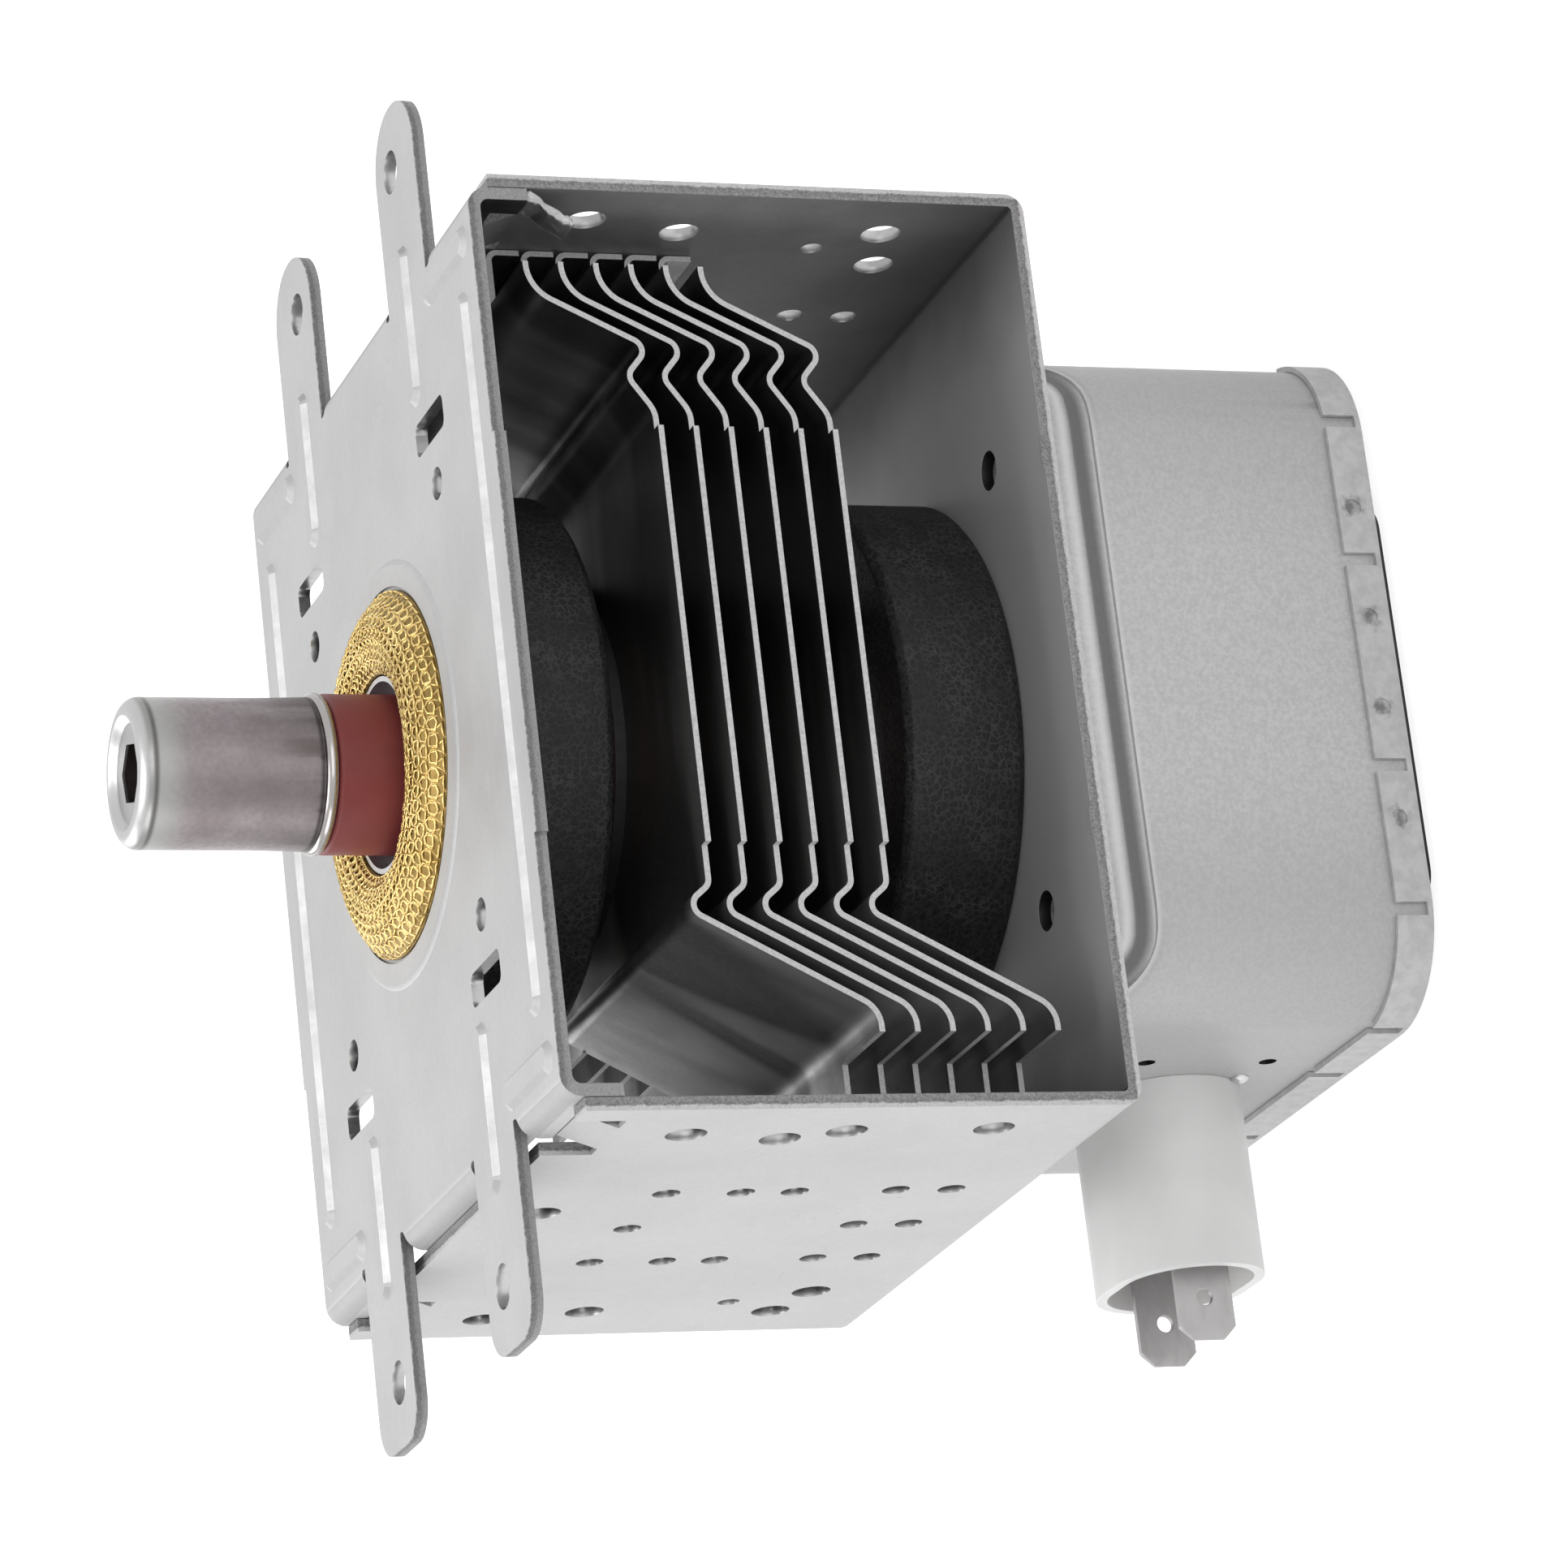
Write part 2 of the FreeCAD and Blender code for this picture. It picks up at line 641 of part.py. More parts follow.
def mounting_plate():
    """Folded plate with side flanges, four ears, pressed beads, slots and holes."""
    plate = new_body("mounting_plate")
    section = sketch_on(plate, "XZ_Plane")
    inner = "plate_edge - plate_sheet"
    outline(section, [
        ("-(plate_edge)", "-plate_flange_drop"),
        (f"-({inner})", "-plate_flange_drop"),
        (f"-({inner})", "-plate_sheet"),
        (inner, "-plate_sheet"),
        (inner, "-plate_flange_drop"),
        ("plate_edge", "-plate_flange_drop"),
        ("plate_edge", "0"),
        ("-(plate_edge)", "0"),
    ])
    pad(plate, section, "plate_half_depth * 2", both=True)
    edge = value("plate_edge")
    sheet_thickness = value("plate_sheet")
    round_edges(plate, "plate_bend", lambda item: runs_along_y(item, edge, 0))
    round_edges(plate, "plate_bend - plate_sheet",
                lambda item: runs_along_y(item, edge - sheet_thickness, -sheet_thickness))

    lips = sketch_on(plate, "XY_Plane")
    rectangle(lips, "-plate_lip_half_width", "-(plate_half_depth + plate_lip_reach)",
              "plate_lip_half_width", "plate_half_depth + plate_lip_reach")
    pad(plate, lips, "plate_sheet", reverse=True)

    lugs = sketch_on(plate, "XY_Plane", "-plate_flange_drop")
    notches = sketch_on(plate, "XY_Plane")
    ears = sketch_on(plate, "XY_Plane")
    ear_low = "ear_centre - ear_width / 2"
    ear_high = "ear_centre + ear_width / 2"
    root = "plate_edge - plate_bend"
    for flip_x, flip_y in QUARTERS:
        rectangle(lugs, inner, "plate_half_depth - plate_lug_length", "plate_edge", "plate_half_depth",
                  flip_x, flip_y)
        rounded_rectangle(notches, root, f"{ear_low} - ear_relief", "ear_reach", f"{ear_high} + ear_relief",
                          "ear_relief / 2", flip_x, flip_y)
        corner = "ear_round_left" if flip_x else "ear_round_right"
        outline(ears, [
            (f"{root} - plate_sheet", ear_low),
            (f"ear_reach - {corner}", ear_low, corner),
            ("ear_reach", f"{ear_low} + {corner}"),
            ("ear_reach", f"{ear_high} - {corner}", corner),
            (f"ear_reach - {corner}", ear_high),
            (f"{root} - plate_sheet", ear_high),
        ], flip_x, flip_y)
    pad(plate, lugs, "plate_lug_drop - plate_flange_drop", reverse=True)
    pocket(plate, notches)
    pad(plate, ears, "plate_sheet", reverse=True)

    pad(plate, plate_beads(plate, margin=False), "bead_height", slope="bead_slope")
    pocket(plate, plate_beads(plate, margin=True), "bead_height", reverse=True)
    ring = sketch_on(plate, "XY_Plane")
    circle(ring, "0", "0", "ring_bead_radius + ring_bead_width / 2")
    circle(ring, "0", "0", "ring_bead_radius - ring_bead_width / 2")
    pad(plate, ring, "ring_bead_height", slope="ring_bead_slope")

    holes = sketch_on(plate, "XY_Plane", "bead_height")
    circle(holes, "0", "0", "plate_hole_radius")
    for flip_x, flip_y in QUARTERS:
        circle(holes, mirrored("ear_reach - ear_hole_setback", flip_x),
               mirrored("ear_hole_pitch_y / 2", flip_y), "ear_hole_radius")
        circle(holes, mirrored("locator_x", flip_x), mirrored("locator_y", flip_y), "locator_radius")
        rounded_rectangle(holes, "slot_x - slot_width / 2", "slot_y - slot_length / 2",
                          "slot_x + slot_width / 2", "slot_y + slot_length / 2", "slot_round",
                          flip_x, flip_y)
    pocket(plate, holes)
    return plate


# Yoke

def yoke():
    """U-shaped sheet with drilled walls, and tongues that lean in under the plate's flanges."""
    frame = new_body("yoke")
    section = sketch_on(frame, "XZ_Plane")
    inner = "yoke_half_width - yoke_sheet"
    outline(section, [
        ("-yoke_half_width", "base_outside"),
        ("yoke_half_width", "base_outside"),
        ("yoke_half_width", "-yoke_top_drop"),
        (inner, "-yoke_top_drop"),
        (inner, "base_inside"),
        (f"-({inner})", "base_inside"),
        (f"-({inner})", "-yoke_top_drop"),
        ("-yoke_half_width", "-yoke_top_drop"),
    ])
    pad(frame, section, "yoke_half_depth * 2", both=True)
    width = value("yoke_half_width")
    thickness = value("yoke_sheet")
    low = value("base_outside")
    round_edges(frame, "yoke_bend", lambda item: runs_along_y(item, width, low))
    round_edges(frame, "yoke_bend - yoke_sheet",
                lambda item: runs_along_y(item, width - thickness, low + thickness))

    windows = sketch_on(frame, "YZ_Plane")
    for flip in (False, True):
        rectangle(windows, "window_start", "-window_drop", "window_end", "yoke_top_drop", flip_x=flip)
    pocket(frame, windows, both=True)
    for side in (-1, 1):
        tongue_middle = f"{side} * (tongue_start + tongue_end) / 2"
        tongues = sketch_on(frame, "XZ_Plane", tongue_middle)
        for flip in (False, True):
            outline(tongues, [
                (inner, "-window_drop"),
                ("yoke_half_width", "-window_drop"),
                ("yoke_half_width - tongue_lean", "-(plate_flange_drop + tongue_gap)"),
                (f"{inner} - tongue_lean", "-(plate_flange_drop + tongue_gap)"),
            ], flip_x=flip)
        pad(frame, tongues, "tongue_end - tongue_start", both=True)

    vents = sketch_on(frame, "YZ_Plane")
    for height, columns in VENT_ROWS:
        for column in columns:
            across = f"{column} * vent_pitch_y" if column else "0"
            circle(vents, across, str(height), "vent_radius")
    pocket(frame, vents, both=True)
    for turn, reverse in ((1, False), (-1, True)):
        drilled = sketch_on(frame, "YZ_Plane")
        for across, height in DRILLED_HOLES:
            circle(drilled, str(turn * across), str(height), "drill_radius")
        circle(drilled, mirrored("pilot_y", turn < 0), "-pilot_drop", "pilot_radius")
        pocket(frame, drilled, reverse=reverse)

    base = sketch_on(frame, "XY_Plane")
    circle(base, "0", "0", "magnet_bore")
    for flip_x, flip_y in QUARTERS:
        circle(base, mirrored("base_hole_x", flip_x), mirrored("base_hole_y", flip_y), "base_hole_radius")
    pocket(frame, base)
    return frame


# Magnets and gasket

def magnet(name, top):
    """Ferrite ring with broken edges, its upper face at the given level."""
    low = f"({top}) - magnet_thickness"
    return turned(name, [
        ("magnet_bore", low),
        ("magnet_radius - magnet_chamfer", low),
        ("magnet_radius", f"{low} + magnet_chamfer"),
        ("magnet_radius", f"({top}) - magnet_chamfer"),
        ("magnet_radius - magnet_chamfer", top),
        ("magnet_bore", top),
    ])


def rf_gasket():
    """Knitted ring: flat below, crowned above."""
    ring = new_body("rf_gasket")
    sketch = sketch_on(ring, "XZ_Plane")
    outline(sketch, [
        ("gasket_bore", "0"),
        ("gasket_radius", "0"),
        ("gasket_radius", "gasket_outer_edge", "gasket_crown_radius"),
        ("gasket_bore", "gasket_inner_edge"),
    ])
    revolve(ring, sketch)
    return ring


# Anode block

def anode_cylinder():
    """Plain copper cylinder between the two seal cups."""
    return turned("anode_cylinder", [
        ("anode_bore", "anode_bottom"),
        ("anode_radius", "anode_bottom"),
        ("anode_radius", "anode_top"),
        ("anode_bore", "anode_top"),
    ])


def strap_notches(level, outward, held):
    """Return the steps of a vane's end, from its tip to its root, with a notch for each strap.

    The strap named by held is brazed in its notch, and the other passes through a wider one.
    """
    steps = []
    for index, start in enumerate(("strap_inner_radius", "outer_strap_radius")):
        brazed = index == held
        margin = "strap_clearance" if brazed else "strap_freedom"
        extra = "" if brazed else " + strap_undercut"
        floor = f"{level} - {outward} * (strap_sink + strap_height{extra})"
        left = f"{start} - {margin}"
        right = f"{start} + strap_sheet + {margin}"
        steps += [(left, level), (left, floor), (right, floor), (right, level)]
    return steps


def anode_vane(index):
    """Copper plate that points at the cathode; each end holds one strap and clears the other."""
    held = index % 2
    vane = new_body(f"anode_vane_{index + 1}")
    sketch = sketch_on(vane, "XZ_Plane")
    below = strap_notches("vane_bottom", -1, held)
    above = strap_notches("vane_top", 1, 1 - held)
    outline(sketch, [("vane_tip", "vane_bottom")] + below + [("vane_root", "vane_bottom"),
            ("vane_root", "vane_top")] + above[::-1] + [("vane_tip", "vane_top")])
    pad(vane, sketch, "vane_sheet", both=True)
    vane.Placement = Placement(Vector(), Rotation(Vector(0, 0, 1), 360.0 * index / VANE_COUNT))
    return vane


def strap_ring(name, inner, end):
    """Copper ring that joins every second vane, near the upper (1) or lower (-1) end of the vanes."""
    level = "vane_top" if end > 0 else "vane_bottom"
    outer_face = f"{level} - {end} * strap_sink"
    inner_face = f"{outer_face} - {end} * strap_height"
    low, high = (inner_face, outer_face) if end > 0 else (outer_face, inner_face)
    return turned(name, [
        (inner, low),
        (f"{inner} + strap_sheet", low),
        (f"{inner} + strap_sheet", high),
        (inner, high),
    ])


def pole_piece(name, end):
    """Iron cone in the upper (1) or lower (-1) end of the cylinder, its nose towards the vanes."""
    level = "anode_top" if end > 0 else "anode_bottom"
    steps = [
        ("anode_bore - pole_clearance", level),
        ("anode_bore - pole_clearance", f"{level} - {end} * pole_sheet"),
        ("pole_foot", f"{level} - {end} * pole_sheet"),
        ("pole_nose", f"{level} - {end} * pole_depth"),
        ("pole_bore", f"{level} - {end} * pole_depth"),
        ("pole_bore", f"{level} - {end} * (pole_depth - pole_shoulder)"),
        ("pole_foot - pole_shoulder", level),
    ]
    return turned(name, steps[::-1] if end > 0 else steps)


def output_pole_piece():
    """Upper cone, with the window that the antenna lead passes through."""
    pole = pole_piece("output_pole_piece", 1)
    window = sketch_on(pole, "XY_Plane")
    circle(window, "pole_window_x", "0", "pole_window_radius")
    pocket(pole, window)
    return pole


# Cathode

def filament():
    """Wound cathode between the two hats, as a sleeve of the winding's outer shape."""
    return turned("filament", [
        ("filament_radius - filament_wire", "anode_middle - hat_gap"),
        ("filament_radius", "anode_middle - hat_gap"),
        ("filament_radius", "anode_middle + hat_gap"),
        ("filament_radius - filament_wire", "anode_middle + hat_gap"),
    ])


def end_hat(name, end):
    """Disc that closes the upper (1) or lower (-1) end of the filament."""
    near = f"anode_middle + {end} * hat_gap"
    far = f"{near} + {end} * hat_thickness"
    low, high = (near, far) if end > 0 else (far, near)
    bore = "lead_radius + lead_clearance" if end < 0 else "0"
    return turned(name, [(bore, low), ("hat_radius", low), ("hat_radius", high), (bore, high)])


def cathode_lead(name, start_y, start_z, side):
    """Rod from a hat down through the stem ceramic to its terminal."""
    low = value("terminal_end")
    stem_y = side * value("lead_pitch") / 2
    knee_high = value("lower_magnet_top")
    knee_low = value("input_rim + lead_bend * 2")
    points = [(0, start_y, start_z), (0, start_y, knee_high), (0, stem_y, knee_low), (0, stem_y, low)]
    return shaped(name, bent_rod(points, value("lead_radius"), value("lead_bend")))


# Seal cups, ceramic, antenna and cap

def output_seal_cup():
    """Metal cup on the anode: flange, tube, and the shelf that carries the output ceramic."""
    return turned("output_seal_cup", [
        ("seal_bore", "anode_top"),
        ("seal_flange_radius", "anode_top"),
        ("seal_flange_radius", "output_flange_top"),
        ("seal_tube_radius", "output_flange_top"),
        ("seal_tube_radius", "output_rim_rise"),
        ("seal_bore", "output_rim_rise"),
        ("seal_bore", "-ceramic_seat_drop"),
        ("ceramic_bore + seal_sheet", "-ceramic_seat_drop"),
        ("ceramic_bore + seal_sheet", "-(ceramic_seat_drop + seal_sheet)"),
        ("seal_bore", "-(ceramic_seat_drop + seal_sheet)"),
    ])


def input_seal_cup():
    """Metal cup below the anode: flange and the tube that carries the stem ceramic."""
    return turned("input_seal_cup", [
        ("seal_bore", "input_rim"),
        ("seal_tube_radius", "input_rim"),
        ("seal_tube_radius", "lower_magnet_top"),
        ("seal_flange_radius", "lower_magnet_top"),
        ("seal_flange_radius", "anode_bottom"),
        ("seal_bore", "anode_bottom"),
    ])


def output_ceramic():
    """Alumina ring between the cup and the antenna."""
    return turned("output_ceramic", [
        ("ceramic_bore", "-ceramic_seat_drop"),
        ("ceramic_radius", "-ceramic_seat_drop"),
        ("ceramic_radius", "ceramic_rise - ceramic_edge"),
        ("ceramic_radius - ceramic_edge", "ceramic_rise"),
        ("ceramic_bore", "ceramic_rise"),
    ])


def antenna_cap():
    """Drawn cap with a rolled bead at its mouth, a dished end and a hexagonal hole."""
    inside = "cap_radius - cap_wall"
    bead = "cap_radius + cap_bead_rise - cap_bead_height / 2"
    cap = turned("antenna_cap", [
        (inside, "ceramic_rise"),
        (bead, "ceramic_rise", HALF_ROUND),
        (bead, "ceramic_rise + cap_bead_height"),
        ("cap_radius + cap_flare", "ceramic_rise + cap_bead_height"),
        ("cap_radius", "ceramic_rise + cap_bead_height + cap_flare_length"),
        ("cap_radius", "cap_top - cap_shoulder", "cap_shoulder_round"),
        ("cap_lip_radius + cap_wall", "cap_top"),
        ("cap_lip_radius", "cap_top"),
        ("cap_dish_radius", "cap_top - cap_dish_depth"),
        ("0", "cap_top - cap_dish_depth"),
        ("0", "cap_top - cap_dish_depth - cap_wall"),
        ("cap_dish_radius", "cap_top - cap_dish_depth - cap_wall"),
        ("cap_lip_radius", "cap_top - cap_lip_sheet"),
        (inside, "cap_top - cap_shoulder - cap_wall"),
    ])
    hexagon = sketch_on(cap, "XY_Plane")
    turns = [f"({60 * k} + cap_hexagon_turn) * 1 deg" for k in range(6)]
    corners = [(f"cap_hexagon_radius * cos({turn})", f"cap_hexagon_radius * sin({turn})") for turn in turns]
    outline(hexagon, corners)
    pocket(cap, hexagon, reverse=True)
    return cap


def exhaust_tube():
    """Copper tube brazed on the ceramic, pinched flat at its upper end."""
    top = "ceramic_rise + exhaust_length"
    closed = f"{top} - exhaust_pinch_length"
    tube = turned("exhaust_tube", [
        ("exhaust_bore", "ceramic_rise"),
        ("exhaust_flange_radius", "ceramic_rise"),
        ("exhaust_flange_radius", "ceramic_rise + exhaust_flange_sheet"),
        ("exhaust_radius", "ceramic_rise + exhaust_flange_sheet"),
        ("exhaust_radius", top),
        ("0", top),
        ("0", closed),
        ("exhaust_bore", closed),
    ])
    pinch = sketch_on(tube, "XZ_Plane")
    for flip in (False, True):
        outline(pinch, [
            ("exhaust_flange_radius", closed),
            ("exhaust_flange_radius", f"{top} + exhaust_pinch_sheet"),
            ("exhaust_pinch_sheet / 2", f"{top} + exhaust_pinch_sheet"),
            ("exhaust_pinch_sheet / 2", f"{closed} + exhaust_pinch_length / 2"),
        ], flip_x=flip)
    pocket(tube, pinch, both=True)
    return tube


def antenna_lead():
    """Copper rod from the top of a vane, through the pole's window, up into the exhaust tube."""
    foot = value("antenna_lead_start")
    points = [
        (foot, 0, value("vane_top")),
        (foot, 0, value("vane_top + antenna_rise")),
        (0, 0, -value("antenna_centring_drop")),
        (0, 0, value("ceramic_rise + exhaust_length - exhaust_pinch_length")),
    ]
    rod = bent_rod(points, value("antenna_lead_radius"), value("antenna_lead_bend"))
    return shaped("antenna_lead", rod)


# Stem

def stem_ceramic():
    """Insulating disc below the cup, drilled for the two cathode leads."""
    disc = turned("stem_ceramic", [
        ("0", "stem_face"),
        ("stem_radius - ceramic_edge", "stem_face"),
        ("stem_radius", "stem_face + ceramic_edge"),
        ("stem_radius", "input_rim"),
        ("0", "input_rim"),
    ])
    holes = sketch_on(disc, "XY_Plane")
    for side in (-1, 1):
        circle(holes, "0", f"{side} * lead_pitch / 2", "lead_radius + lead_clearance")
    pocket(disc, holes)
    return disc


def stem_terminal(name, side):
    """Cap on the stem with a collar round the end of its lead."""
    cap = turned(name, [
        ("lead_radius + lead_clearance", "terminal_end"),
        ("terminal_collar_radius", "terminal_end"),
        ("terminal_collar_radius", "stem_face - terminal_sheet"),
        ("terminal_radius", "stem_face - terminal_sheet"),
        ("terminal_radius", "stem_face"),
        ("lead_radius + lead_clearance", "stem_face"),
    ])
    cap.setExpression("Placement.Base.y", bind(f"{side} * lead_pitch / 2"))
    return cap


# Cooling fins

def folded_sheet(corners, bends, thickness):
    """Return the section of a folded sheet of even thickness about a line of corners in the XZ plane."""
    sides = [(after - before).normalize() for before, after in zip(corners, corners[1:])]
    turns = [(before.z * after.x - before.x * after.z) for before, after in zip(sides, sides[1:])]
    faces = []
    for hand in (1, -1):
        shifted = []
        for index, corner in enumerate(corners):
            before = sides[max(index - 1, 0)]
            after = sides[min(index, len(sides) - 1)]
            bisector = Vector(-before.z - after.z, 0, before.x + after.x).normalize()
            reach = hand * thickness / 2 / bisector.dot(Vector(-after.z, 0, after.x))
            shifted.append(corner + bisector * reach)
        radii = [bend + hand * math.copysign(thickness / 2, turn) for bend, turn in zip(bends, turns)]
        faces.append((shifted, bent_path(shifted, radii)))
    (upper, upper_edges), (lower, lower_edges) = faces
    ends = [Part.LineSegment(upper[end], lower[end]).toShape() for end in (0, -1)]
    return Part.Face(Part.Wire(Part.__sortEdges__(upper_edges + lower_edges + ends)))


def fin_section():
    """Return a fin's section about its flat middle, from the left wall's flange to the right one's."""
    wall = value("yoke_half_width - yoke_sheet - fin_wall_clearance - fin_sheet / 2")
    left_level = -value("fin_left_shelf_drop")
    right_level = value("fin_right_shelf_rise")
    tight = value("fin_tight_bend")
    wide = value("fin_wide_bend")
    flange_bend = value("fin_flange_bend")
    folds = [
        (-wall, left_level, flange_bend),
        (-value("fin_left_shelf_start"), left_level, wide),
        (-value("fin_left_crest_x"), value("fin_left_crest_rise"), tight),
        (-value("fin_left_rise_start"), 0, tight),
        (value("fin_right_rise_start"), 0, wide),
        (value("fin_right_crest_x"), value("fin_right_crest_rise"), tight),
        (value("fin_right_valley_x"), -value("fin_right_valley_drop"), tight),
        (value("fin_right_shelf_start"), right_level, value("fin_shelf_bend")),
        (wall, right_level, flange_bend),
    ]
    start = Vector(-wall, 0, left_level - value("fin_flange"))
    finish = Vector(wall, 0, right_level - value("fin_flange"))
    corners = [start] + [Vector(x, 0, z) for x, z, _ in folds] + [finish]
    return folded_sheet(corners, [bend for _, _, bend in folds], value("fin_sheet"))


def tall_prism(steps):
    """Return a prism over the outline given as (x, y), tall enough to hold a whole fin."""
    height = value("yoke_half_width")
    corners = [Vector(x, y, -height) for x, y in steps]
    plan = Part.Face(Part.makePolygon(corners + [corners[0]]))
    return plan.extrude(Vector(0, 0, 2 * height))


def fin_front():
    """Return the outline of a fin's folded part, seen from above."""
    wall = value("yoke_half_width")
    flat_end = -value("fin_flat_half_depth")
    wing_end = -value("fin_wing_half_depth")
    tab_end = -value("fin_tab_front")
    back = value("fin_wing_end")
    return [
        (wall, back),
        (-wall, back),
        (-wall, tab_end),
        (-value("fin_left_shelf_end"), tab_end),
        (-value("fin_left_shelf_end"), wing_end),
        (-value("fin_flat_left"), wing_end),
        (-value("fin_flat_left"), flat_end),
        (value("fin_flat_right"), flat_end),
        (value("fin_flat_right"), wing_end),
        (value("fin_right_shelf_end"), wing_end),
        (value("fin_right_shelf_end"), tab_end),
        (wall, tab_end),
    ]


def fin_back():
    """Return the outline of a fin's flat part behind the wings, seen from above."""
    across = value("fin_back_half_width")
    wing_end = value("fin_wing_half_depth")
    flat_end = value("fin_flat_half_depth")
    front = value("fin_wing_end")
    return [
        (-across, front),
        (across, front),
        (across, wing_end),
        (value("fin_flat_right"), wing_end),
        (value("fin_flat_right"), flat_end),
        (-value("fin_flat_left"), flat_end),
        (-value("fin_flat_left"), wing_end),
        (-across, wing_end),
    ]


def fin_shape():
    """Return one fin about the level of its flat middle."""
    depth = value("fin_flat_half_depth")
    thickness = value("fin_sheet")
    section = fin_section()
    section.translate(Vector(0, -depth, 0))
    folded = section.extrude(Vector(0, 2 * depth, 0)).common(tall_prism(fin_front()))
    across = value("yoke_half_width")
    plain = Part.makeBox(2 * across, 2 * depth, thickness, Vector(-across, -depth, -thickness / 2))
    plain = plain.common(tall_prism(fin_back()))
    bore = value("anode_radius + fin_fit")
    collar_height = value("fin_collar_height")
    low = Vector(0, 0, -thickness / 2)
    collar = Part.makeCylinder(bore + value("fin_collar_wall"), collar_height, low)
    hole = Part.makeCylinder(bore, 3 * collar_height, low - Vector(0, 0, collar_height))
    return folded.fuse([plain, collar]).cut(hole).removeSplitter()


def cooling_fins():
    """Fins in a stack along the anode, all alike."""
    shape = fin_shape()
    count = int(value("fin_count"))
    middle = value("anode_middle + fin_middle_rise")
    for index in range(count):
        level = middle + value("fin_pitch") * ((count - 1) / 2 - index)
        shaped(f"cooling_fin_{index + 1}", shape, Placement(Vector(0, 0, level), Rotation()))


# Filter box

def groove_plate(sketch, margin):
    """Draw a plate that hangs past the can's upper face, its lower corners round."""
    across = f"groove_half_length + ({margin})"
    low = f"base_outside - groove_drop - ({margin})"
    corner = f"groove_turn + ({margin})"
    outline(sketch, [
        (f"-({across})", f"{low} + {corner}", corner),
        (f"-({across}) + {corner}", low),
        (f"{across} - ({corner})", low, corner),
        (across, f"{low} + {corner}"),
        (across, "base_outside + groove_width"),
        (f"-({across})", "base_outside + groove_width"),
    ])


def groove_cutter():
    """Band along the can's wide faces that turns up at both ends, as thick as the groove is deep."""
    cutter = new_body("groove_cutter")
    band = sketch_on(cutter, "XZ_Plane")
    groove_plate(band, "groove_width / 2")
    pad(cutter, band, "box_half_depth * 2 + groove_width", both=True)
    middle = sketch_on(cutter, "XZ_Plane")
    groove_plate(middle, "-groove_width / 2")
    pocket(cutter, middle, both=True)
    core = sketch_on(cutter, "XY_Plane")
    rounded_rectangle(core, "-(box_half_width - groove_depth)", "-(box_half_depth - groove_depth)",
                      "box_half_width - groove_depth", "box_half_depth - groove_depth",
                      "(box_corner - groove_depth)")
    pocket(cutter, core, both=True)
    return cutter


def filter_box():
    """Drawn can, open below, with openings for the stem and the connector and a pressed groove.

    Four holes of its top wall are in line with those of the yoke's base.
    """
    can = new_body("filter_box")
    walls = sketch_on(can, "XY_Plane", "box_rim")
    rounded_rectangle(walls, "-box_half_width", "-box_half_depth", "box_half_width", "box_half_depth",
                      "box_corner")
    pad(can, walls, "box_depth")
    top = value("base_outside")
    round_edges(can, "box_edge_round", lambda item: lies_at(item, top))
    hollow = sketch_on(can, "XY_Plane", "box_rim")
    rounded_rectangle(hollow, "-(box_half_width - box_sheet)", "-(box_half_depth - box_sheet)",
                      "box_half_width - box_sheet", "box_half_depth - box_sheet",
                      "(box_corner - box_sheet)")
    pocket(can, hollow, "box_depth - box_sheet", reverse=True)
    top_openings = sketch_on(can, "XY_Plane")
    circle(top_openings, "0", "0", "magnet_bore")
    for flip_x, flip_y in QUARTERS:
        circle(top_openings, mirrored("base_hole_x", flip_x), mirrored("base_hole_y", flip_y),
               "base_hole_radius")
    pocket(can, top_openings)
    side_openings = sketch_on(can, "YZ_Plane")
    neck = "neck_half_width + connector_fit - (neck_half_height + connector_fit)"
    stadium(side_openings, f"-({neck})", neck, "connector_level", "2 * (neck_half_height + connector_fit)")
    for flip_x, flip_y in QUARTERS:
        circle(side_openings, mirrored("rivet_hole_y", flip_x),
               f"connector_level + {-1 if flip_y else 1} * rivet_hole_z", "rivet_hole_radius")
    pocket(can, side_openings)
    groove = can.newObject("PartDesign::Boolean", "filter_box_groove")
    groove.setObjects([groove_cutter()])
    groove.Type = "Cut"
    document.recompute()
    return can


def lid_panel(sketch, margin):
    """Draw the outline of the lid's panel, narrowed by a margin."""
    across = f"lid_half_depth - lid_panel_inset - ({margin})"
    rounded_rectangle(sketch, f"-(lid_panel_left - ({margin}))", f"-({across})",
                      f"lid_panel_right - ({margin})", across, f"(lid_panel_corner - ({margin}))")


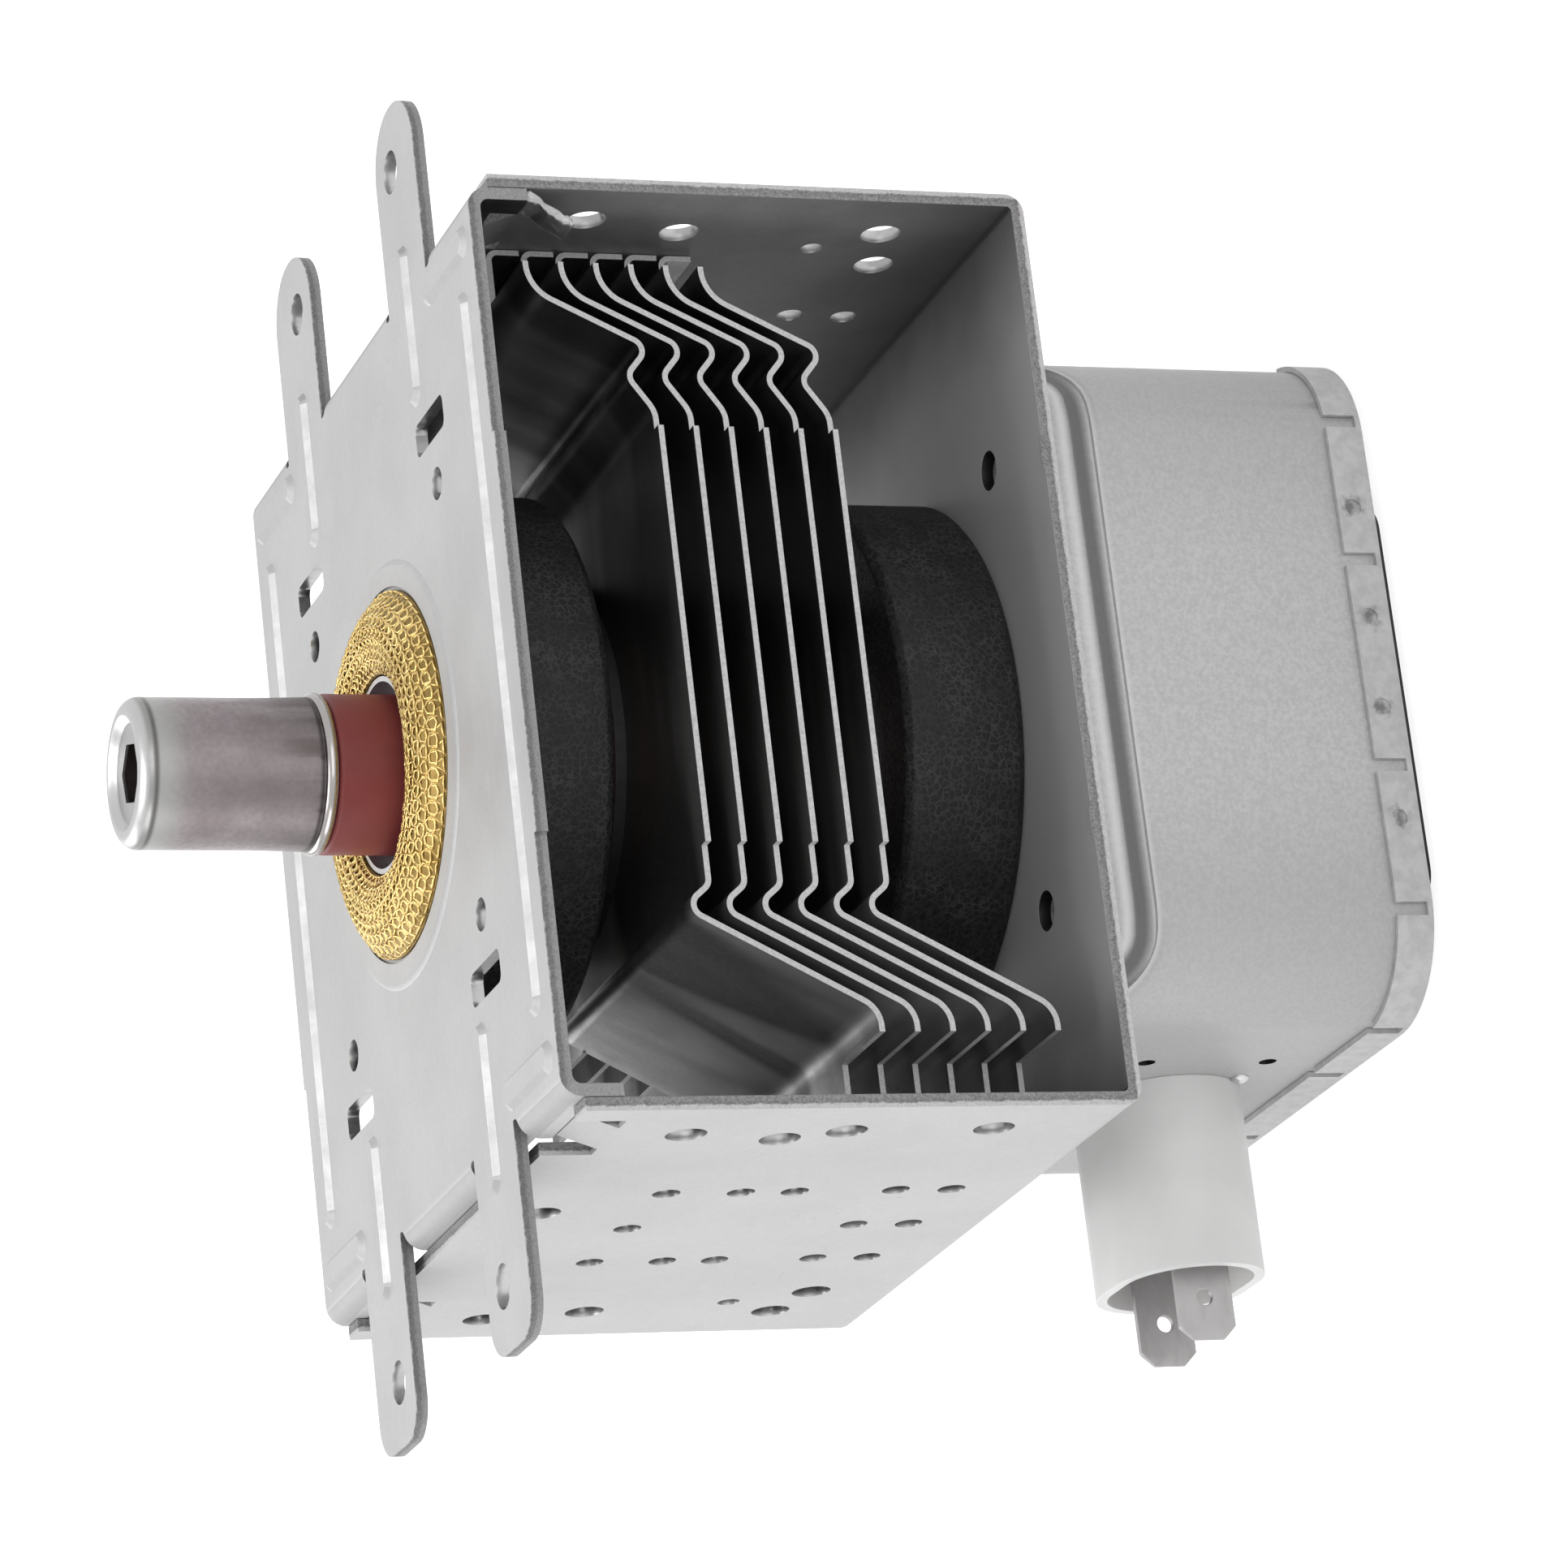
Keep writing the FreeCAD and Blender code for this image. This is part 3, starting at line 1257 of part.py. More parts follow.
def filter_box_lid():
    """Pressed lid with a panel pressed out of its underside, its rim slit into tabs that clasp the can."""
    lid = new_body("filter_box_lid")
    rim = sketch_on(lid, "XY_Plane", "floor_level")
    rounded_rectangle(rim, "-(lid_half_width)", "-(lid_half_depth)", "lid_half_width", "lid_half_depth",
                      "(lid_corner)")
    pad(lid, rim, "lid_sheet + lid_tab_height")
    hollow = sketch_on(lid, "XY_Plane", "box_rim")
    rounded_rectangle(hollow, "-(lid_half_width - lid_sheet)", "-(lid_half_depth - lid_sheet)",
                      "lid_half_width - lid_sheet", "lid_half_depth - lid_sheet",
                      "(lid_corner - lid_sheet)")
    pocket(lid, hollow, "lid_tab_height + lid_sheet", reverse=True)
    panel = sketch_on(lid, "XY_Plane", "floor_level")
    lid_panel(panel, "0")
    pad(lid, panel, "lid_panel_height", reverse=True)
    panel_hollow = sketch_on(lid, "XY_Plane", "box_rim")
    lid_panel(panel_hollow, "lid_panel_wall")
    pocket(lid, panel_hollow, "lid_panel_height")

    for plane, outer in (("XZ_Plane", "lid_slit_outer_x"), ("YZ_Plane", "lid_slit_outer_y")):
        slits = sketch_on(lid, plane)
        for across in ("lid_slit_inner", outer):
            for flip in (False, True):
                rectangle(slits, f"{across} - lid_slit / 2", "box_rim", f"{across} + lid_slit / 2",
                          "box_rim + lid_tab_height * 2", flip_x=flip)
        pocket(lid, slits, both=True)
    for side, reverse in ((1, False), (-1, True)):
        dimples = sketch_on(lid, "XZ_Plane", f"{side} * lid_half_depth")
        for across in ("lid_dimple_inner", "lid_dimple_outer"):
            for flip in (False, True):
                circle(dimples, mirrored(across, flip), "box_rim + lid_tab_height / 2",
                       "lid_dimple_radius")
        pocket(lid, dimples, "lid_dimple_depth", reverse=reverse)
    return lid


# Connector and feed-through capacitor

def oval(sketch, half_width, half_height):
    """Draw the connector's oval about its middle, in a sketch across X."""
    reach = f"({half_width}) - ({half_height})"
    stadium(sketch, f"-({reach})", reach, "connector_level", f"2 * ({half_height})")


def blade_slots(sketch, width, thickness):
    """Draw the two slots that the connector's blades pass through, in a sketch across X."""
    for flip in (False, True):
        rectangle(sketch, f"lead_pitch / 2 - ({thickness}) / 2", f"connector_level - ({width}) / 2",
                  f"lead_pitch / 2 + ({thickness}) / 2", f"connector_level + ({width}) / 2", flip_x=flip)


def connector_housing():
    """Oval moulding round the blades, with a neck through the can's wall."""
    housing = new_body("connector_housing")
    body = sketch_on(housing, "YZ_Plane", "-box_half_width")
    oval(body, "connector_half_width", "connector_half_height")
    pad(housing, body, "connector_length", reverse=True)
    neck = sketch_on(housing, "YZ_Plane", "-box_half_width")
    oval(neck, "neck_half_width", "neck_half_height")
    pad(housing, neck, "box_sheet + flange_sheet")
    mouth = sketch_on(housing, "YZ_Plane", "-(connector_mouth)")
    oval(mouth, "connector_half_width - connector_wall", "connector_half_height - connector_wall")
    pocket(housing, mouth, "connector_length - connector_floor", reverse=True)
    slots = sketch_on(housing, "YZ_Plane")
    blade_slots(slots, "spade_width + connector_fit * 2", "spade_sheet + connector_fit * 2")
    pocket(housing, slots)
    return housing


def spade_terminal(name, side):
    """Blade with a pierced, pointed tab outside and a narrow stem through the capacitor."""
    blade = new_body(name)
    tab = sketch_on(blade, "XZ_Plane", f"{-side} * lead_pitch / 2")
    low = "connector_level - spade_width / 2"
    high = "connector_level + spade_width / 2"
    outline(tab, [
        ("-(spade_end)", "connector_level - spade_stem_width / 2"),
        ("-(spade_end)", "connector_level + spade_stem_width / 2"),
        ("-(flange_back)", "connector_level + spade_stem_width / 2"),
        ("-(flange_back)", high),
        ("-(spade_tip_x - spade_tip)", high),
        ("-(spade_tip_x)", f"{high} - spade_tip"),
        ("-(spade_tip_x)", f"{low} + spade_tip"),
        ("-(spade_tip_x - spade_tip)", low),
        ("-(flange_back)", low),
        ("-(flange_back)", "connector_level - spade_stem_width / 2"),
    ])
    pad(blade, tab, "spade_sheet", both=True)
    hole = sketch_on(blade, "XZ_Plane")
    circle(hole, "-(spade_tip_x - spade_hole_setback)", "connector_level", "spade_hole_radius")
    pocket(blade, hole, both=True)
    bevels = sketch_on(blade, "XY_Plane", high)
    for face in (-1, 1):
        outer = f"{side} * lead_pitch / 2 + {face} * spade_sheet"
        surface = f"{side} * lead_pitch / 2 + {face} * spade_sheet / 2"
        outline(bevels, [
            ("-(spade_tip_x)", outer),
            ("-(spade_tip_x)", f"{surface} - {face} * spade_bevel_depth"),
            ("-(spade_tip_x - spade_bevel_length)", surface),
            ("-(spade_tip_x - spade_bevel_length)", outer),
        ])
    pocket(blade, bevels, "spade_width")
    return blade


def capacitor_flange():
    """Oval plate behind the can's wall, pierced for the connector's neck."""
    plate = new_body("capacitor_flange")
    disc = sketch_on(plate, "YZ_Plane", "-(flange_back)")
    oval(disc, "flange_half_width", "flange_half_height")
    pad(plate, disc, "flange_sheet", reverse=True)
    opening = sketch_on(plate, "YZ_Plane")
    oval(opening, "neck_half_width + connector_fit", "neck_half_height + connector_fit")
    pocket(plate, opening)
    return plate


def capacitor_body():
    """Potted block on the flange's inner face, with a slot for each blade's stem."""
    block = new_body("capacitor_body")
    section = sketch_on(block, "YZ_Plane", "-(flange_back)")
    oval(section, "potting_half_width", "potting_half_height")
    pad(block, section, "potting_length")
    slots = sketch_on(block, "YZ_Plane")
    blade_slots(slots, "spade_stem_width + connector_fit * 2", "spade_sheet + connector_fit * 2")
    pocket(block, slots)
    return block


# Chokes

def ferrite_core(name, side):
    """Plain ferrite rod inside a choke."""
    core = document.addObject("Part::Cylinder", name)
    core.Label = name
    core.setExpression("Radius", bind("core_radius"))
    core.setExpression("Height", bind("core_length"))
    core.Placement = Placement(Vector(), Rotation(Vector(0, 1, 0), 90))
    core.setExpression("Placement.Base.x", bind("-core_start"))
    core.setExpression("Placement.Base.y", bind(f"{side} * choke_y"))
    core.setExpression("Placement.Base.z", bind("connector_level"))
    return core


def choke_coil(name, side):
    """Close winding as a sleeve, with wire ends that run to the stem's terminal and the blade's stem."""
    level = value("connector_level")
    lead_y = side * value("lead_pitch") / 2
    start = -value("coil_start")
    length = value("coil_length")
    along = Vector(1, 0, 0)
    centre = Vector(start, side * value("choke_y"), level)
    winding = Part.makeCylinder(value("coil_outer"), length, centre, along)
    winding = winding.cut(Part.makeCylinder(value("coil_inner"), length, centre, along))
    wire = value("coil_lead_radius")
    to_stem = [(start + length, lead_y, level), (0, lead_y, level), (0, lead_y, value("terminal_end"))]
    blade_end = -value("spade_end")
    to_blade = Part.makeCylinder(wire, start - blade_end, Vector(blade_end, lead_y, level), along)
    return shaped(name, winding.fuse([bent_rod(to_stem, wire, value("coil_bend")), to_blade]))


# Assembly

def build():
    """Make every sub-part."""
    fill_sheet()
    antenna_cap()
    exhaust_tube()
    antenna_lead()
    output_ceramic()
    output_seal_cup()
    rf_gasket()
    mounting_plate()
    yoke()
    magnet("upper_magnet", "-plate_sheet")
    magnet("lower_magnet", "lower_magnet_top")
    cooling_fins()
    anode_cylinder()
    for index in range(VANE_COUNT):
        anode_vane(index)
    for end, side in ((1, "upper"), (-1, "lower")):
        strap_ring(f"{side}_inner_strap", "strap_inner_radius", end)
        strap_ring(f"{side}_outer_strap", "outer_strap_radius", end)
    output_pole_piece()
    pole_piece("input_pole_piece", -1)
    filament()
    end_hat("upper_end_hat", 1)
    end_hat("lower_end_hat", -1)
    cathode_lead("centre_lead", 0, value("anode_middle + hat_gap"), -1)
    cathode_lead("side_lead", value("side_lead_start"), value("anode_middle - hat_gap - hat_thickness"), 1)
    input_seal_cup()
    stem_ceramic()
    filter_box()
    filter_box_lid()
    connector_housing()
    capacitor_flange()
    capacitor_body()
    for side, word in ((-1, "near"), (1, "far")):
        stem_terminal(f"stem_terminal_{word}", side)
        spade_terminal(f"spade_terminal_{word}", side)
        ferrite_core(f"ferrite_core_{word}", side)
        choke_coil(f"choke_coil_{word}", side)


def sub_parts():
    """Return the bodies and pieces that stand for a real piece each."""
    kinds = ("PartDesign::Body", "Part::Feature", "Part::Cylinder")
    return [item for item in document.Objects if item.TypeId in kinds and not item.getParentGeoFeatureGroup()]


def check():
    """Stop where an object failed, or a sub-part has no valid shape."""
    for item in document.Objects:
        if "Invalid" in item.State or "Error" in item.State:
            raise RuntimeError(f"{item.Name} ({item.Label}) failed: {item.State}")
    for item in sub_parts():
        if item.Shape.isNull() or not item.Shape.isValid() or not item.Shape.Solids:
            raise RuntimeError(f"{item.Label} has no valid solid")


def write_steps():
    """Write one STEP file for each sub-part, named by its label."""
    os.makedirs("parts", exist_ok=True)
    for item in sub_parts():
        item.Shape.exportStep(f"parts/{item.Label}.step")


build()
document.recompute()
check()
write_steps()
print(len(sub_parts()), "sub-parts written")
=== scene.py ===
import logging
import math
import random
from contextlib import contextmanager
from dataclasses import dataclass, field
from enum import Enum
from typing import Callable, Iterator, Optional, Sequence

import bmesh
import bpy
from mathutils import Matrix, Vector

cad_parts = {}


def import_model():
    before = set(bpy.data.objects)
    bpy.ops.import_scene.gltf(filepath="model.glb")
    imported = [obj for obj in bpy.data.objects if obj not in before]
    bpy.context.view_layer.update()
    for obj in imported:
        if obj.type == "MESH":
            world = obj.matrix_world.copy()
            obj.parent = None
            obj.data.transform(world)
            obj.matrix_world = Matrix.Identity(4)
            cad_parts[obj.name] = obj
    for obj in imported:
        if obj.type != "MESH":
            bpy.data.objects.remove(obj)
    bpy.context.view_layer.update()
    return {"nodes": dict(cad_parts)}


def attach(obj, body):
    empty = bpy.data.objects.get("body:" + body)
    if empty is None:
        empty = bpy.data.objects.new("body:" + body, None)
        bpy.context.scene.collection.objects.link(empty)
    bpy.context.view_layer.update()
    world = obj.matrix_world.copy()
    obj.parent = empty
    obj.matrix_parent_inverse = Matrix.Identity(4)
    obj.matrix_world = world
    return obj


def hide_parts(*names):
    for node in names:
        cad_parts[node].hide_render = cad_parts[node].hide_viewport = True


# Looks of an air-cooled magnetron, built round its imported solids. Every length is in metres, in the
# frame of the solids: the antenna points along +Z and the connector along -X.

LOG = logging.getLogger("magnetron")
MM = 0.001
ROOT = "root"

# Inner faces of the yoke: its walls to either side of the middle, and its base.
YOKE_WALL = 47.8 * MM
YOKE_BASE = -59.0 * MM
YOKE_SHEET = 1.4 * MM

# Nearly all of a noise pattern lies in the first range, and of a sum of two in the second.
SPREAD = (0.3, 0.7)
SUM_SPREAD = (0.6, 1.4)

# Places of the colour sockets of a Mix node, which has one set of names for every type.
MIX_FACTOR, MIX_LOW, MIX_HIGH, MIX_RESULT = 0, 6, 7, 2

Colour = tuple[float, float, float]
Piece = bpy.types.Object
Material = bpy.types.Material
Socket = bpy.types.NodeSocket
FaceTest = Callable[[Vector, Vector], bool]
EdgeTest = Callable[[Vector, float], bool]


def grey(value: float) -> Colour:
    """Return a neutral colour."""
    return (value, value, value)


def scaled(colour: Colour, share: float) -> Colour:
    """Return a colour made darker or lighter by a share."""
    return tuple(share * part for part in colour)


class Slot(Enum):
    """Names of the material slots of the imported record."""

    STEEL_SHEET = "steel_sheet"
    BOX_SHEET = "box_sheet"
    CAP_STEEL = "cap_steel"
    FIN_ALUMINIUM = "fin_aluminium"
    FERRITE = "ferrite"
    ROSE_CERAMIC = "rose_ceramic"
    BRASS_MESH = "brass_mesh"
    SILVER_STEEL = "silver_steel"
    CONNECTOR_PLASTIC = "connector_plastic"
    TINNED = "tinned"


@dataclass(frozen=True)
class Stripe:
    """A soft stripe: its middle, where it starts to fade and is gone, its strength and its paint."""

    middle: float
    full: float
    gone: float
    strength: float
    paint: Colour


class Wiring:
    """A node tree that nodes are added to."""

    def __init__(self, tree: bpy.types.NodeTree) -> None:
        """Keep the tree."""
        self.tree = tree

    def feed(self, socket: Socket, value: object) -> None:
        """Link a socket to another one, or give it a plain value.

        Args:
            socket: The input that is fed.
            value: Another socket, or a plain value.
        """
        if isinstance(value, bpy.types.NodeSocket):
            self.tree.links.new(value, socket)
        else:
            socket.default_value = value

    def node(self, kind: str, feeds: Optional[dict] = None, **settings: object) -> bpy.types.Node:
        """Add a node.

        Args:
            kind: Blender's name of the node type.
            feeds: What each input gets, by its name or number: another socket or a plain value.
            **settings: Properties of the node to set.

        Returns:
            The new node.
        """
        made = self.tree.nodes.new(kind)
        for key, value in settings.items():
            setattr(made, key, value)
        for key, value in (feeds or {}).items():
            self.feed(made.inputs[key], value)
        return made

    def join(self, operation: str, first: object, second: object = 0.0, **settings: object) -> Socket:
        """Join two values by Blender's named operation, or change the first one alone."""
        return self.node("ShaderNodeMath", {0: first, 1: second}, operation=operation, **settings).outputs[0]


class Graph(Wiring):
    """Node graph of one material, with its shader and the piece's own coordinates ready."""

    def __init__(self, name: str, metallic: float, shine: float = 0.5) -> None:
        """Start the material.

        Args:
            name: Name of the material.
            metallic: Metallic value of the whole surface.
            shine: Specular level of the whole surface.
        """
        self.material = bpy.data.materials.new(name)
        self.material.use_nodes = True
        super().__init__(self.material.node_tree)
        self.shader = self.tree.nodes["Principled BSDF"].inputs
        self.feed(self.shader["Metallic"], metallic)
        self.feed(self.shader["Specular IOR Level"], shine)
        self.place = self.node("ShaderNodeTexCoord").outputs["Object"]

    def noise(self, scale: float, detail: float = 4.0, stretch: Sequence[float] = (1, 1, 1),
              roughness: float = 0.55, distortion: float = 0.0) -> Socket:
        """Add a noise pattern.

        Args:
            scale: Waves per metre, about.
            detail: Octaves of finer noise.
            stretch: Factor on each axis of the coordinates.
            roughness: Strength of the finer octaves.
            distortion: How far the pattern is warped.

        Returns:
            The socket of the pattern's value.
        """
        mapping = self.node("ShaderNodeMapping", {"Vector": self.place, "Scale": stretch})
        feeds = {"Vector": mapping.outputs["Vector"], "Scale": scale, "Detail": detail,
                 "Roughness": roughness, "Distortion": distortion}
        return self.node("ShaderNodeTexNoise", feeds).outputs["Fac"]

    def crackle(self, scale: float, warp: float, finer: float = 1.4) -> Socket:
        """Add a net of cracks.

        Args:
            scale: Cells per metre.
            warp: How far the net is pushed out of shape, in metres.
            finer: How much finer than the cells the push is.

        Returns:
            The socket of the distance to the nearest crack, as a share of a cell.
        """
        push = self.node("ShaderNodeTexNoise", {"Vector": self.place, "Scale": scale * finer})
        shift = self.node("ShaderNodeVectorMath", {0: push.outputs["Color"], "Scale": warp},
                          operation="SCALE")
        moved = self.node("ShaderNodeVectorMath", {0: self.place, 1: shift.outputs[0]}, operation="ADD")
        net = self.node("ShaderNodeTexVoronoi", {"Vector": moved.outputs[0], "Scale": scale},
                        feature="DISTANCE_TO_EDGE")
        return net.outputs["Distance"]

    def level(self, source: Socket, low: float, high: float, to_low: float = 0.0, to_high: float = 1.0,
              smooth: bool = False) -> Socket:
        """Map a range of a value onto another range, and stop at its ends.

        Args:
            source: The value.
            low: Start of the range that is read.
            high: End of the range that is read.
            to_low: What the start becomes.
            to_high: What the end becomes.
            smooth: Ease in and out.

        Returns:
            The socket of the result.
        """
        feeds = {"Value": source, "From Min": low, "From Max": high, "To Min": to_low, "To Max": to_high}
        ease = "SMOOTHSTEP" if smooth else "LINEAR"
        return self.node("ShaderNodeMapRange", feeds, clamp=True, interpolation_type=ease).outputs["Result"]

    def axis(self, name: str) -> Socket:
        """Return one of the piece's coordinates, X, Y or Z."""
        return self.node("ShaderNodeSeparateXYZ", {0: self.place}).outputs[name]

    def off_middle(self) -> Socket:
        """Return the distance from the plane between the part's left and right halves."""
        return self.join("ABSOLUTE", self.axis("X"))

    def apart(self, first: object, second: object) -> Socket:
        """Return how far two values lie apart."""
        return self.join("ABSOLUTE", self.join("SUBTRACT", first, second))

    def reach(self, across: object, along: object) -> Socket:
        """Return the length of a vector from its two sides."""
        squares = [self.join("MULTIPLY", side, side) for side in (across, along)]
        return self.join("SQRT", self.join("ADD", *squares))

    def bands(self, source: Socket, stops: Sequence[tuple[float, float]]) -> Socket:
        """Read a grey ramp at a value.

        Args:
            source: The value, from 0 to 1.
            stops: Places on the ramp with the grey at each.

        Returns:
            The socket of the grey.
        """
        ramp = self.node("ShaderNodeValToRGB", {"Fac": source})
        elements = ramp.color_ramp.elements
        while len(elements) < len(stops):
            elements.new(0.5)
        for element, (place, shade) in zip(elements, stops):
            element.position = place
            element.color = (*grey(shade), 1.0)
        return ramp.outputs["Color"]

    def blend(self, factor: object, low: object, high: object) -> Socket:
        """Mix two colours.

        Args:
            factor: How much of the second one shows.
            low: The first colour, or the socket that gives it.
            high: The second colour, or the socket that gives it.

        Returns:
            The socket of the mixed colour.
        """
        feeds = {MIX_FACTOR: factor}
        for key, value in ((MIX_LOW, low), (MIX_HIGH, high)):
            feeds[key] = value if isinstance(value, bpy.types.NodeSocket) else (*value, 1.0)
        return self.node("ShaderNodeMix", feeds, data_type="RGBA").outputs[MIX_RESULT]

    def stripes(self, colour: Socket, along: Socket, stripes: Sequence[Stripe]) -> Socket:
        """Paint soft stripes over a colour, one after another.

        Args:
            colour: The colour under them.
            along: The value that they are placed along.
            stripes: The stripes.

        Returns:
            The socket of the painted colour.
        """
        for stripe in stripes:
            away = self.apart(along, stripe.middle)
            share = self.level(away, stripe.full, stripe.gone, stripe.strength, 0.0, smooth=True)
            colour = self.blend(share, colour, stripe.paint)
        return colour

    def relief(self, height: Socket, depth: float, strength: float, under: Optional[Socket] = None) -> Socket:
        """Add a bump.

        Args:
            height: The pattern, from 0 to 1.
            depth: Height of the pattern in metres.
            strength: Strength of the bump.
            under: Another bump that this one lies on.

        Returns:
            The socket of the bumped normal.
        """
        feeds = {"Height": height, "Distance": depth, "Strength": strength}
        if under is not None:
            feeds["Normal"] = under
        return self.node("ShaderNodeBump", feeds).outputs["Normal"]

    def finish(self, colour: Socket, roughness: Socket, normal: Socket) -> Material:
        """Join colour, roughness and bumped normal to the shader.

        Args:
            colour: Socket of the base colour.
            roughness: Socket of the roughness.
            normal: Socket of the bumped normal.

        Returns:
            The finished material.
        """
        for key, value in (("Base Color", colour), ("Roughness", roughness), ("Normal", normal)):
            self.feed(self.shader[key], value)
        return self.material


@dataclass(frozen=True)
class ZincSheet:
    """Zinc-plated steel sheet: faintly mottled, with fine rolling grain, worn spots and specks in patches."""

    name: str
    dark: Colour
    light: Colour
    metallic: float = 0.18
    roughness: float = 0.5
    mottle: float = 60.0
    grain: Sequence[float] = (120.0, 900.0, 900.0)
    speck: Colour = grey(0.22)
    speck_share: float = 0.30
    worn_shade: float = 0.72
    grain_depth: float = 0.006 * MM
    wave_depth: float = 0.03 * MM
    shine: float = 0.35

    def shade(self, graph: Graph, colour: Socket) -> Socket:
        """Return the colour with the marks of one sheet; a plain sheet has none."""
        return colour

    def press(self, graph: Graph, normal: Socket) -> Socket:
        """Return the normal with the pressings of one sheet; a plain sheet has none."""
        return normal

    def build(self) -> Material:
        """Build the finish.

        Returns:
            The finished material.
        """
        graph = Graph(self.name, self.metallic, self.shine)
        cloud = graph.noise(self.mottle, 6.0, roughness=0.6)
        fine = graph.noise(1500.0, 3.0, roughness=0.7)
        grain = graph.noise(1.0, 3.0, self.grain, 0.6)
        colour = graph.blend(graph.level(cloud, 0.32, 0.68, smooth=True), self.dark, self.light)
        worn = graph.level(fine, 0.38, 0.7, 0.0, 0.16)
        colour = graph.blend(worn, colour, scaled(self.dark, self.worn_shade))
        patches = graph.level(graph.noise(34.0, 3.0), 0.5, 0.68, 0.25, 1.0)
        speck = graph.level(graph.noise(950.0, 1.5), 0.705, 0.76, 0.0, self.speck_share)
        colour = graph.blend(graph.join("MULTIPLY", speck, patches), colour, self.speck)
        colour = self.shade(graph, colour)
        rough = graph.level(graph.join("ADD", cloud, grain), *SUM_SPREAD,
                            self.roughness - 0.07, self.roughness + 0.09)
        normal = graph.relief(graph.noise(70.0, 1.0), self.wave_depth, 0.6)
        for pattern in (grain, fine):
            normal = graph.relief(pattern, self.grain_depth, 0.5, normal)
        return graph.finish(colour, rough, self.press(graph, normal))


@dataclass(frozen=True)
class FoldedSheet(ZincSheet):
    """The yoke's inward faces: painted light on the base, and a band of painted shade with a dark line along
    each fold.
    """

    wall: float = YOKE_WALL
    base: float = YOKE_BASE
    base_edge: Sequence[float] = (0.02 * MM, 0.1 * MM)
    painted_base_light: Colour = grey(0.66)
    fold: Sequence[float] = (0.3 * MM, 1.1 * MM)
    shadow: float = 17.0 * MM
    wander: float = 2.0 * MM
    painted_fold_shade: float = 0.2

    def shade(self, graph: Graph, colour: Socket) -> Socket:
        """Return the colour with painted light on the base and painted shade along the folds, where the gloss
        ends.

        Args:
            graph: The material's nodes.
            colour: The colour so far.

        Returns:
            The socket of the marked colour.
        """
        from_wall = graph.join("SUBTRACT", self.wall, graph.off_middle())
        from_base = graph.join("SUBTRACT", graph.axis("Z"), self.base)
        away = graph.join("MAXIMUM", from_wall, from_base)
        # Painted light: the base is lighter than the walls.
        colour = graph.blend(graph.level(from_base, *self.base_edge, 0.85, 0.0), colour, self.painted_base_light)
        # Painted shade: a wide band and a dark line along each fold.
        wander = graph.level(graph.noise(60.0, 2.0), *SPREAD, -self.wander, self.wander)
        band = graph.level(graph.join("ADD", away, wander), 0.0, self.shadow, 0.72, 0.0, smooth=True)
        line = graph.level(away, *self.fold, 0.92, 0.0, smooth=True)
        graph.feed(graph.shader["Specular IOR Level"], graph.level(away, *self.fold, 0.0, self.shine))
        return graph.blend(graph.join("MAXIMUM", band, line), colour, scaled(self.dark, self.painted_fold_shade))


@dataclass(frozen=True)
class GroovedSheet(ZincSheet):
    """Filter can: the soft shoulders of the groove pressed into its wide faces, with painted shade in the
    groove and towards the ends, and painted light on the groove's far wall and the ridge beside it.
    """

    level: float = -66.2 * MM
    half_length: float = 34.0 * MM
    turn: float = 5.0 * MM
    shoulder: Sequence[float] = (0.7 * MM, 2.3 * MM)
    depth: float = 0.45 * MM
    # Painted shade, darker towards both ends of the wide faces.
    end_shade_span: Sequence[float] = (8.0 * MM, 34.0 * MM)
    painted_end_shade: Colour = grey(0.42)
    # Painted shade in the groove, painted light on its far wall and a painted highlight on the ridge beside
    # it.
    painted_valley_shade: Stripe = Stripe(-0.35 * MM, 0.3 * MM, 1.7 * MM, 0.85, grey(0.10))
    lit_wall: Stripe = Stripe(1.3 * MM, 0.0, 0.6 * MM, 0.38, grey(0.95))
    painted_ridge_highlight: Stripe = Stripe(-2.1 * MM, 0.0, 1.0 * MM, 0.6, grey(0.86))

    def past_line(self, graph: Graph) -> Socket:
        """Return the distance past the groove's middle line, outward.

        Args:
            graph: The material's nodes.

        Returns:
            The socket of the distance.
        """
        past_turn = graph.join("SUBTRACT", graph.off_middle(), self.half_length - self.turn)
        above = graph.join("SUBTRACT", graph.axis("Z"), self.level + self.turn)
        corner = graph.reach(graph.join("MAXIMUM", past_turn, 0.0), graph.join("MINIMUM", above, 0.0))
        return graph.join("SUBTRACT", corner, self.turn)

    def shade(self, graph: Graph, colour: Socket) -> Socket:
        """Return the colour with painted shade towards the ends and in the groove, and painted light on its
        far wall and the ridge beside it.

        Args:
            graph: The material's nodes.
            colour: The colour so far.

        Returns:
            The socket of the marked colour.
        """
        end_shade_span = graph.level(graph.off_middle(), *self.end_shade_span, 0.0, 0.5, smooth=True)
        colour = graph.blend(end_shade_span, colour, self.painted_end_shade)
        return graph.stripes(colour, self.past_line(graph), (self.painted_valley_shade, self.lit_wall, self.painted_ridge_highlight))

    def press(self, graph: Graph, normal: Socket) -> Socket:
        """Return the normal with the soft shoulders."""
        off_line = graph.join("ABSOLUTE", self.past_line(graph))
        return graph.relief(graph.level(off_line, *self.shoulder, smooth=True), self.depth, 0.9, normal)


